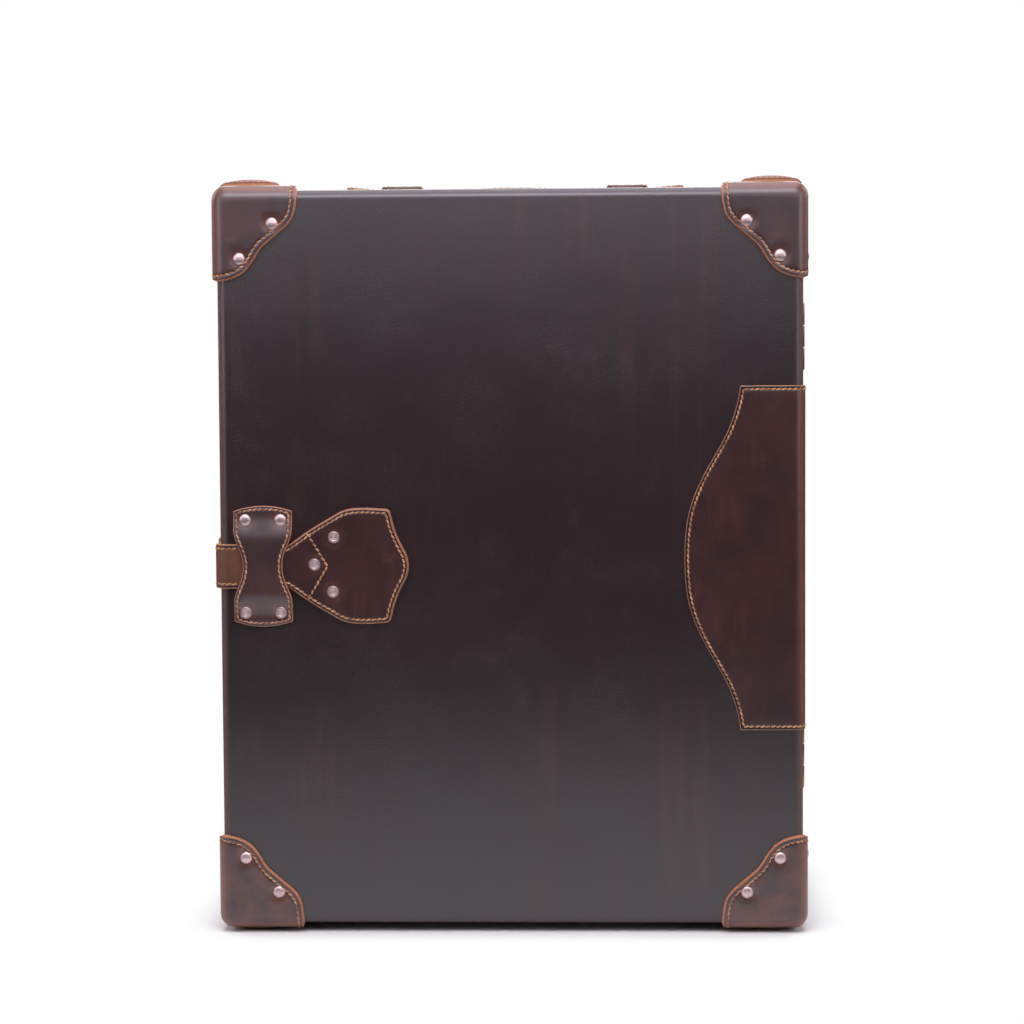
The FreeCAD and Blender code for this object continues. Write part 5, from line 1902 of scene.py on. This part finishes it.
# ---- handle
@dataclass
class Handle:
    """A strap handle on top of the back half, under two keepers."""

    trunk: Trunk = TRUNK
    middle_y: float = 11.0
    half_w: float = 15.0
    thickness: float = 5.5
    belly: float = 2.2
    base_z: float = 608.0
    grip_half: float = 41.0
    neck_end: float = 75.0
    end_x: float = 145.0
    curl_x: float = 115.0
    curl: float = 3.2
    nose_r: float = 9.0
    groove: float = 3.4
    keeper_x: float = 96.5
    keeper: Keeper = Keeper(
        width=36.0, waist=27.0, length=68.0, thickness=2.9, rivet=(10.44, 26.9), seam=3.2,
        pitch=4.4, round_r=0.9, halo=9.0, lines=(8, 40), flare=0.7, ease=lambda share: share ** 2)

    def build(self) -> list[Matrix]:
        """Make the strap in four pieces and the keepers.

        Returns:
            Where the keepers' rivets stand.
        """
        joint = (self.grip_half + self.neck_end) / 2
        for sign, hand in ((-1, "left"), (1, "right")):
            grip, neck, tail = "handle_grip", f"handle_neck_{hand}", f"handle_tail_{hand}"
            nodes = [grip, neck] if sign < 0 else [neck]
            inner = self._piece(sign, 0.0, joint, f"handle_grip_{hand}", *nodes)
            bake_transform(inner)
            outer = self._piece(sign, joint, self.end_x, f"handle_end_{hand}", tail)
            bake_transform(outer)
        return self._keepers()

    def _piece(self, sign: int, start: float, end: float, name: str, *nodes: str
               ) -> bpy.types.Object:
        """One length of the strap.

        Args:
            sign: -1 on the left, 1 on the right.
            start, end: Its ends, from the middle.
            name: The piece's name.
            nodes: CAD nodes that it replaces.

        Returns:
            The piece.
        """
        thick, free = self.thickness, end == self.end_x
        long = edge_section(thick, self.groove, 1.6, 0.7, 0.35)
        joined = [Station(0.0, 0.0), Station(0.0, FAR_IN)]
        nose = [Station(0.0, 0.0, 1.0), Station(0.0, thick - 1.2, 1.0),
                Station(0.35, thick - 0.35, 0.55), Station(1.2, thick)]
        along = lines_across(joined, nose if free else joined,
                             max(16, int((end - start) / 2.4)))
        for line in along:
            if line.section.height > thick:     # no cut edge: the leather runs on
                line.section = Station(FAR_IN, thick)

        def finish(across: float) -> float:
            """The rounded corners of the free end."""
            over = max(0.0, abs(across) * self.half_w - (self.half_w - self.nose_r))
            return end - (self.nose_r - math.sqrt(max(0.0, self.nose_r ** 2 - over ** 2)))

        def place(across: float, run: float, height: float) -> Vector:
            """Along the top of the case; the grip swells and the tail curls up."""
            swell = max(0.0, 1 - (run / self.grip_half) ** 2) * min(1.0, height / thick)
            height += self.belly * swell * (1 - 0.5 * (across / self.half_w) ** 2)
            share = max(0.0, run - self.curl_x) / (self.end_x - self.curl_x)
            return Vector((sign * run, self.middle_y + across,
                           self.base_z + self.curl * share ** 0.9 + height))

        panel = Panel(lambda v: -self.half_w, lambda v: self.half_w, lambda a: start,
                      finish if free else lambda a: end, lines_across(long, long, 8), along)
        mesh = panel.draw(place)
        seam = Seam(5.0, 0.66)
        seam.sew(mesh, panel.seam(self.groove, "lr"), place, thick - 0.2)
        if free:
            seam.sew(mesh, panel.seam(self.groove, "t", 30), place, thick - 0.2)
        return finish_piece(mesh, name, [STRAP, THREAD, HOLE_SHADE], None, "strap_leather", *nodes,
                            sharp=40.0)

    def _keeper_place(self, sign: int, u: float, v: float, height: float) -> Vector:
        """On a keeper: over the strap, and tied down at both sides of it."""
        full, foot = self.half_w + 0.8, self.half_w + 5.2
        share = min(1.0, max(0.0, (foot - abs(v)) / (foot - full)))
        hump = (self.thickness + 1.1) * share * share * (3 - 2 * share)
        return Vector((sign * self.keeper_x + u, self.middle_y + v,
                       self.trunk.top_z + hump + height))

    def _keepers(self) -> list[Matrix]:
        """The two keepers, and where their rivets stand."""
        both, stands = bmesh.new(), []
        for sign in (-1, 1):
            place = partial(self._keeper_place, sign)
            pour(both, self.keeper.draw(place))
            stands += [facing(place(u, v, self.keeper.thickness - 0.2), (0, 0, 1))
                       for u, v in self.keeper.spots()]
        finish_piece(both, "handle_keepers_sewn", [STRAP, THREAD, HOLE_SHADE], "back_half",
                     "trim_leather", "handle_keepers", recalculate=False)
        return stands


# ---- inside
@dataclass
class PlainNodes:
    """CAD nodes whose shape is right and that only need their finish."""

    finishes: dict[str, Finish] = field(default_factory=lambda: {
        "lid_boards": BOARD, "back_boards": BOARD, "lid_lining": LINING, "back_lining": LINING,
        "rim_frame": DRAWER, "side_magnet": STEEL, "drawer_case": DRAWER_SIDE,
        "drawer_box_bottom": DRAWER_SIDE, "drawer_box_middle": DRAWER_SIDE,
        "drawer_box_top": DRAWER_SIDE, "rail_block": HANGER, "rail_channel": STEEL,
        "hanger_trolley": STEEL, "hanger_rod": STEEL,
    })

    def build(self) -> None:
        """Give each node its finish."""
        for name, finish in self.finishes.items():
            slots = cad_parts[name].data.materials
            slots.clear()
            slots.append(finish.material())
            LOG.info("%s: %s", name, finish.name)


@dataclass
class Drawers:
    """The fronts and leather pulls of the three drawers."""

    names: tuple[str, ...] = ("bottom", "middle", "top")
    pull_half: float = 8.0
    pull_t: float = 2.4
    rivet_x: float = 36.0

    def build(self) -> None:
        """Make each front and its pull."""
        for name in self.names:
            low, high = cad_box(f"drawer_front_{name}")
            finish_piece(box_mesh(low, high, 1.5, 3), f"drawer_panel_{name}", [DRAWER],
                         f"drawer_{name}", "drawer_wood", f"drawer_front_{name}")
            self._pull(name, low.y, (low.z + high.z) / 2)

    def _pull(self, name: str, face_y: float, level: float) -> None:
        """A bent leather pull held by two rivets."""
        path = rounded_path([(-42.0, 0.0), (-29.0, 0.0), (-22.0, -7.6), (22.0, -7.6),
                             (29.0, 0.0), (42.0, 0.0)], 5.0)

        def place(across: float, run: float, height: float) -> Vector:
            """Along the bent pull."""
            x, y = path.at(run, -height)
            return Vector((x, face_y + y, level + across))

        mesh = ribbon(path, self.pull_half, self.pull_t, 2.2, (), 44, place)
        cap = Rivet(3.4, 1.0).shape()
        for x in (-self.rivet_x, self.rivet_x):
            pour(mesh, cap, facing((x, face_y - self.pull_t + 0.3, level), (0, -1, 0)), 3)
        finish_piece(mesh, f"drawer_leather_pull_{name}", [STRAP, THREAD, HOLE_SHADE, NICKEL],
                     f"drawer_{name}", "strap_leather", f"drawer_pull_{name}")


@dataclass
class Hangers:
    """Three shaped wooden hangers with wire hooks."""

    count: int = 3
    half_w: float = 192.0
    thickness: float = 12.0
    top_z: float = 532.0
    top_fall: float = 44.0
    under_z: float = 506.0
    under_fall: float = 33.0
    under_end: float = 473.2
    bar_z: float = 474.2
    bar_half: float = 172.0
    bar_r: float = 4.4
    post_x: float = 172.8
    post_z: Flat = (469.8, 488.0)
    hook_z: float = 559.3
    hook_r: float = 9.2
    wire_r: float = 1.7

    def build(self) -> None:
        """Make each hanger's wood and hook."""
        for index in range(1, self.count + 1):
            low, high = cad_box(f"hanger_wood_{index}")
            y = (low.y + high.y) / 2
            finish_piece(self._wood(y), f"hanger_arms_{index}", [HANGER, STEEL],
                         f"hanger_{index}", "drawer_wood", f"hanger_wood_{index}", sharp=50.0)
            self._hook(index, y)

    def _wood(self, y: float) -> BMesh:
        """The curved arms and the trouser bar."""
        mesh = bmesh.new()
        bmesh.ops.create_cube(mesh, size=1.0)
        bmesh.ops.scale(mesh, vec=(2 * self.half_w, self.thickness, 1.0), verts=mesh.verts)
        for x in np.linspace(-self.half_w, self.half_w, 49)[1:-1]:
            cut_across(mesh, (x, 0, 0), (1, 0, 0))
        for vert in mesh.verts:
            bow = (abs(vert.co.x) / self.half_w) ** 1.9
            vert.co.z = (self.top_z - self.top_fall * bow if vert.co.z > 0
                         else max(self.under_z - self.under_fall * bow, self.under_end))
        sides = [e for e in mesh.edges if len(e.link_faces) == 2
                 and e.calc_face_angle(0.0) > math.radians(60)]
        bmesh.ops.bevel(mesh, geom=sides, affect="EDGES", offset=3.6, segments=4, profile=0.5,
                        material=-1)
        bar = spun_bar([(0.0, 0.0), (self.bar_r, 0.0)], -self.bar_half, self.bar_half, 18)
        pour(mesh, bar, Matrix.Translation((0, 0, self.bar_z)) @ Matrix.Rotation(
            math.pi / 2, 4, "Y"))
        low, high = self.post_z
        for x in (-self.post_x, self.post_x):
            pour(mesh, box_mesh(Vector((x - self.bar_r, -self.bar_r, low)),
                                Vector((x + self.bar_r, self.bar_r, high)), 1.4, 3))
        bmesh.ops.translate(mesh, vec=(0, y, 0), verts=mesh.verts)
        return mesh

    def _hook(self, index: int, y: float) -> None:
        """The round wire hook over the rod."""
        middle, r = self.hook_z, self.hook_r
        turns = [math.radians(degrees) for degrees in range(-36, 181, 12)]
        points = [(r * math.cos(turn), middle + r * math.sin(turn)) for turn in turns]
        points += [(-r * 0.96, middle - 3.5), (-r * 0.7, middle - 8.5), (-1.2, middle - 13.0),
                   (0.0, middle - 17.0), (0.0, self.top_z - 1.0), (0.0, self.top_z - 8.0)]
        fine = smooth_run(np.array(points), 5)
        curve = bpy.data.curves.new(f"hook_wire_{index}", "CURVE")
        curve.dimensions = "3D"
        curve.bevel_depth = self.wire_r * MM
        curve.bevel_resolution = 3
        curve.use_fill_caps = True
        spline = curve.splines.new("POLY")
        spline.points.add(len(fine) - 1)
        for point, (x, z) in zip(spline.points, fine):
            point.co = (x * MM, y * MM, z * MM, 1)
        wire = stand(curve.name, curve)
        bpy.context.view_layer.update()
        data = bpy.data.meshes.new_from_object(wire.evaluated_get(
            bpy.context.evaluated_depsgraph_get()))
        bpy.data.objects.remove(wire)
        data.name = f"hanger_wire_{index}"
        data.materials.clear()
        data.materials.append(STEEL.material())
        data.shade_smooth()
        hand_over(stand(data.name, data), f"hanger_{index}", "steel", f"hanger_hook_{index}")


# ---- studio
@dataclass
class Studio:
    """Floor, soft lights and camera, in metres and degrees."""

    distance: float = 2.4
    azimuth: float = 1.952
    height: float = 0.4909
    yaw: float = 2.048
    pitch: float = 3.693
    roll: float = -0.354
    lens: float = 97.66
    ambient: float = 0.05
    lamp_tone: tuple[float, float, float] = (0.98, 0.945, 1.0)
    floor_r: float = 0.85
    lamps: tuple = (
        ("lamp_strip", (0.0, -1.2, 0.83), (0.0, -0.15, 0.5), (2.2, 0.24), 2.6),
        ("lamp_near", (0.0, -0.85, 1.25), (0.0, -0.15, 0.45), (1.4, 0.5), 10.0),
        ("lamp_over", (0.0, -1.3, 2.0), (0.0, -0.15, 0.4), (1.4, 0.8), 5.0),
        ("lamp_left", (-1.5, -1.0, 0.9), (0.0, -0.1, 0.35), (0.8, 1.2), 7.0),
        ("lamp_right", (1.5, -1.0, 0.9), (0.0, -0.1, 0.35), (0.8, 1.2), 7.0),
        ("lamp_far_left", (-1.5, 0.8, 1.2), (0.0, 0.1, 0.35), (0.8, 1.0), 9.0),
        ("lamp_far_right", (1.5, 0.8, 1.2), (0.0, 0.1, 0.35), (0.8, 1.0), 9.0),
        ("lamp_top", (0.0, 0.1, 2.2), (0.0, 0.0, 0.3), (1.8, 1.8), 26.0),
        ("lamp_back", (0.0, 1.3, 1.35), (0.0, 0.15, 0.45), (1.4, 0.5), 12.0))

    def build(self) -> None:
        """Set the stage."""
        self._floor()
        self._world()
        self._lights()
        self._camera()
        bpy.context.scene.view_settings.view_transform = "Standard"

    def _floor(self) -> None:
        """A pale floor that turns white to the camera outside the trunk's shadow."""
        mesh = bmesh.new()
        bmesh.ops.create_circle(mesh, cap_ends=True, segments=96, radius=self.floor_r)
        data = bpy.data.meshes.new("studio_floor")
        mesh.to_mesh(data)
        mesh.free()
        material = bpy.data.materials.new("studio_floor")
        material.use_nodes = True
        nodes = material.node_tree.nodes
        graph = Graph(material.node_tree)
        pale = graph.feed(nodes["Principled BSDF"], {
            "Base Color": (0.86, 0.86, 0.86, 1), "Roughness": 0.85, "Specular IOR Level": 0.1})
        open_share = graph.node("AmbientOcclusion", {"Distance": 0.06}, samples=16).outputs["AO"]
        path = graph.node("LightPath").outputs
        seen = graph.math("MAXIMUM", path["Is Camera Ray"], graph.math(
            "MAXIMUM", path["Is Transmission Ray"], path["Is Glossy Ray"]))
        share = graph.math("MULTIPLY", seen, graph.remap(open_share, 0.5, 0.88))
        white = graph.node("Emission", {"Color": (1, 1, 1, 1), "Strength": 1.0})
        both = graph.node("MixShader", {0: share, 1: pale.outputs[0], 2: white.outputs[0]})
        graph.feed(nodes["Material Output"], {0: both.outputs[0]})
        data.materials.append(material)
        stand("studio_floor", data)

    def _world(self) -> None:
        """Faint light from all round, and a white ground to the camera."""
        world = bpy.data.worlds.new("studio_world")
        world.use_nodes = True
        bpy.context.scene.world = world
        nodes = world.node_tree.nodes
        graph = Graph(world.node_tree)
        faint = graph.feed(nodes["Background"], {"Color": (0.94, 0.95, 1.0, 1),
                                                 "Strength": self.ambient})
        white = graph.node("Background", {"Color": (1, 1, 1, 1), "Strength": 1.0})
        path = graph.node("LightPath").outputs
        way = graph.node("SeparateXYZ", {0: graph.node("TexCoord").outputs["Generated"]}).outputs
        behind = graph.remap(way[1], 0.2, 0.95, 0.0, 0.06)
        seen = graph.math("MAXIMUM", graph.math("MAXIMUM", path["Is Camera Ray"],
                                                path["Is Transmission Ray"]),
                          graph.math("MULTIPLY", path["Is Glossy Ray"], behind))
        both = graph.node("MixShader", {0: seen, 1: faint.outputs[0], 2: white.outputs[0]})
        graph.feed(nodes["World Output"], {0: both.outputs[0]})

    def _lights(self) -> None:
        """Large soft lamps over and beside the trunk."""
        for name, place, aim, size, power in self.lamps:
            data = bpy.data.lights.new(name, "AREA")
            data.shape = "RECTANGLE"
            data.size, data.size_y = size
            data.energy = power
            data.color = self.lamp_tone
            lamp = stand(name, data)
            lamp.location = place
            lamp.rotation_euler = (Vector(aim) - Vector(place)).to_track_quat(
                "-Z", "Y").to_euler()

    def _camera(self) -> None:
        """The camera a little above and to the right of the trunk's middle."""
        data = bpy.data.cameras.new("camera")
        data.lens = self.lens
        data.sensor_width = 36.0
        data.clip_end = 50.0
        azimuth, yaw, pitch, roll = (math.radians(angle) for angle in (
            self.azimuth, self.yaw, self.pitch, self.roll))
        look = Vector((-math.sin(yaw) * math.cos(pitch), math.cos(yaw) * math.cos(pitch),
                       -math.sin(pitch)))
        right = look.cross(Vector((0, 0, 1))).normalized()
        up = right.cross(look)
        turn = Matrix((right * math.cos(roll) + up * math.sin(roll),
                       up * math.cos(roll) - right * math.sin(roll), -look)).transposed()
        camera = stand("camera", data)
        camera.matrix_world = Matrix.Translation((
            self.distance * math.sin(azimuth), -self.distance * math.cos(azimuth),
            self.height)) @ turn.to_4x4()
        bpy.context.scene.camera = camera


def main() -> None:
    """Build the trunk's looks in order and report each piece."""
    logging.basicConfig(level=logging.INFO, format="%(name)s %(message)s")
    PlainNodes().build()
    guard = CornerGuard().draw()
    gussets = (Gusset(CornerGuard()).draw(), Gusset(CornerGuard(), rise=6.1).draw())
    stands = {}
    for side, prefix, body in ((-1, "lid", "lid"), (1, "back", "back_half")):
        Cover(prefix, body, side).build()
        stands[body] = HalfCorners(prefix, body, side).build(guard, gussets)
        SpinePatch(prefix, body, side).build()
    latch = Latch()
    stands["lid"] += latch.build()
    stands["back_half"] += Handle().build()
    caps_piece("lid_rivet_caps", "lid", "lid_rivets", (Rivet(), stands["lid"]),
               (Rivet(crown=Crown.DISHED), latch.dished))
    caps_piece("back_rivet_caps", "back_half", "back_rivets", (Rivet(), stands["back_half"]))
    Hinges().build()
    Drawers().build()
    Hangers().build()
    Studio().build()


if __name__ == "__main__":
    main()
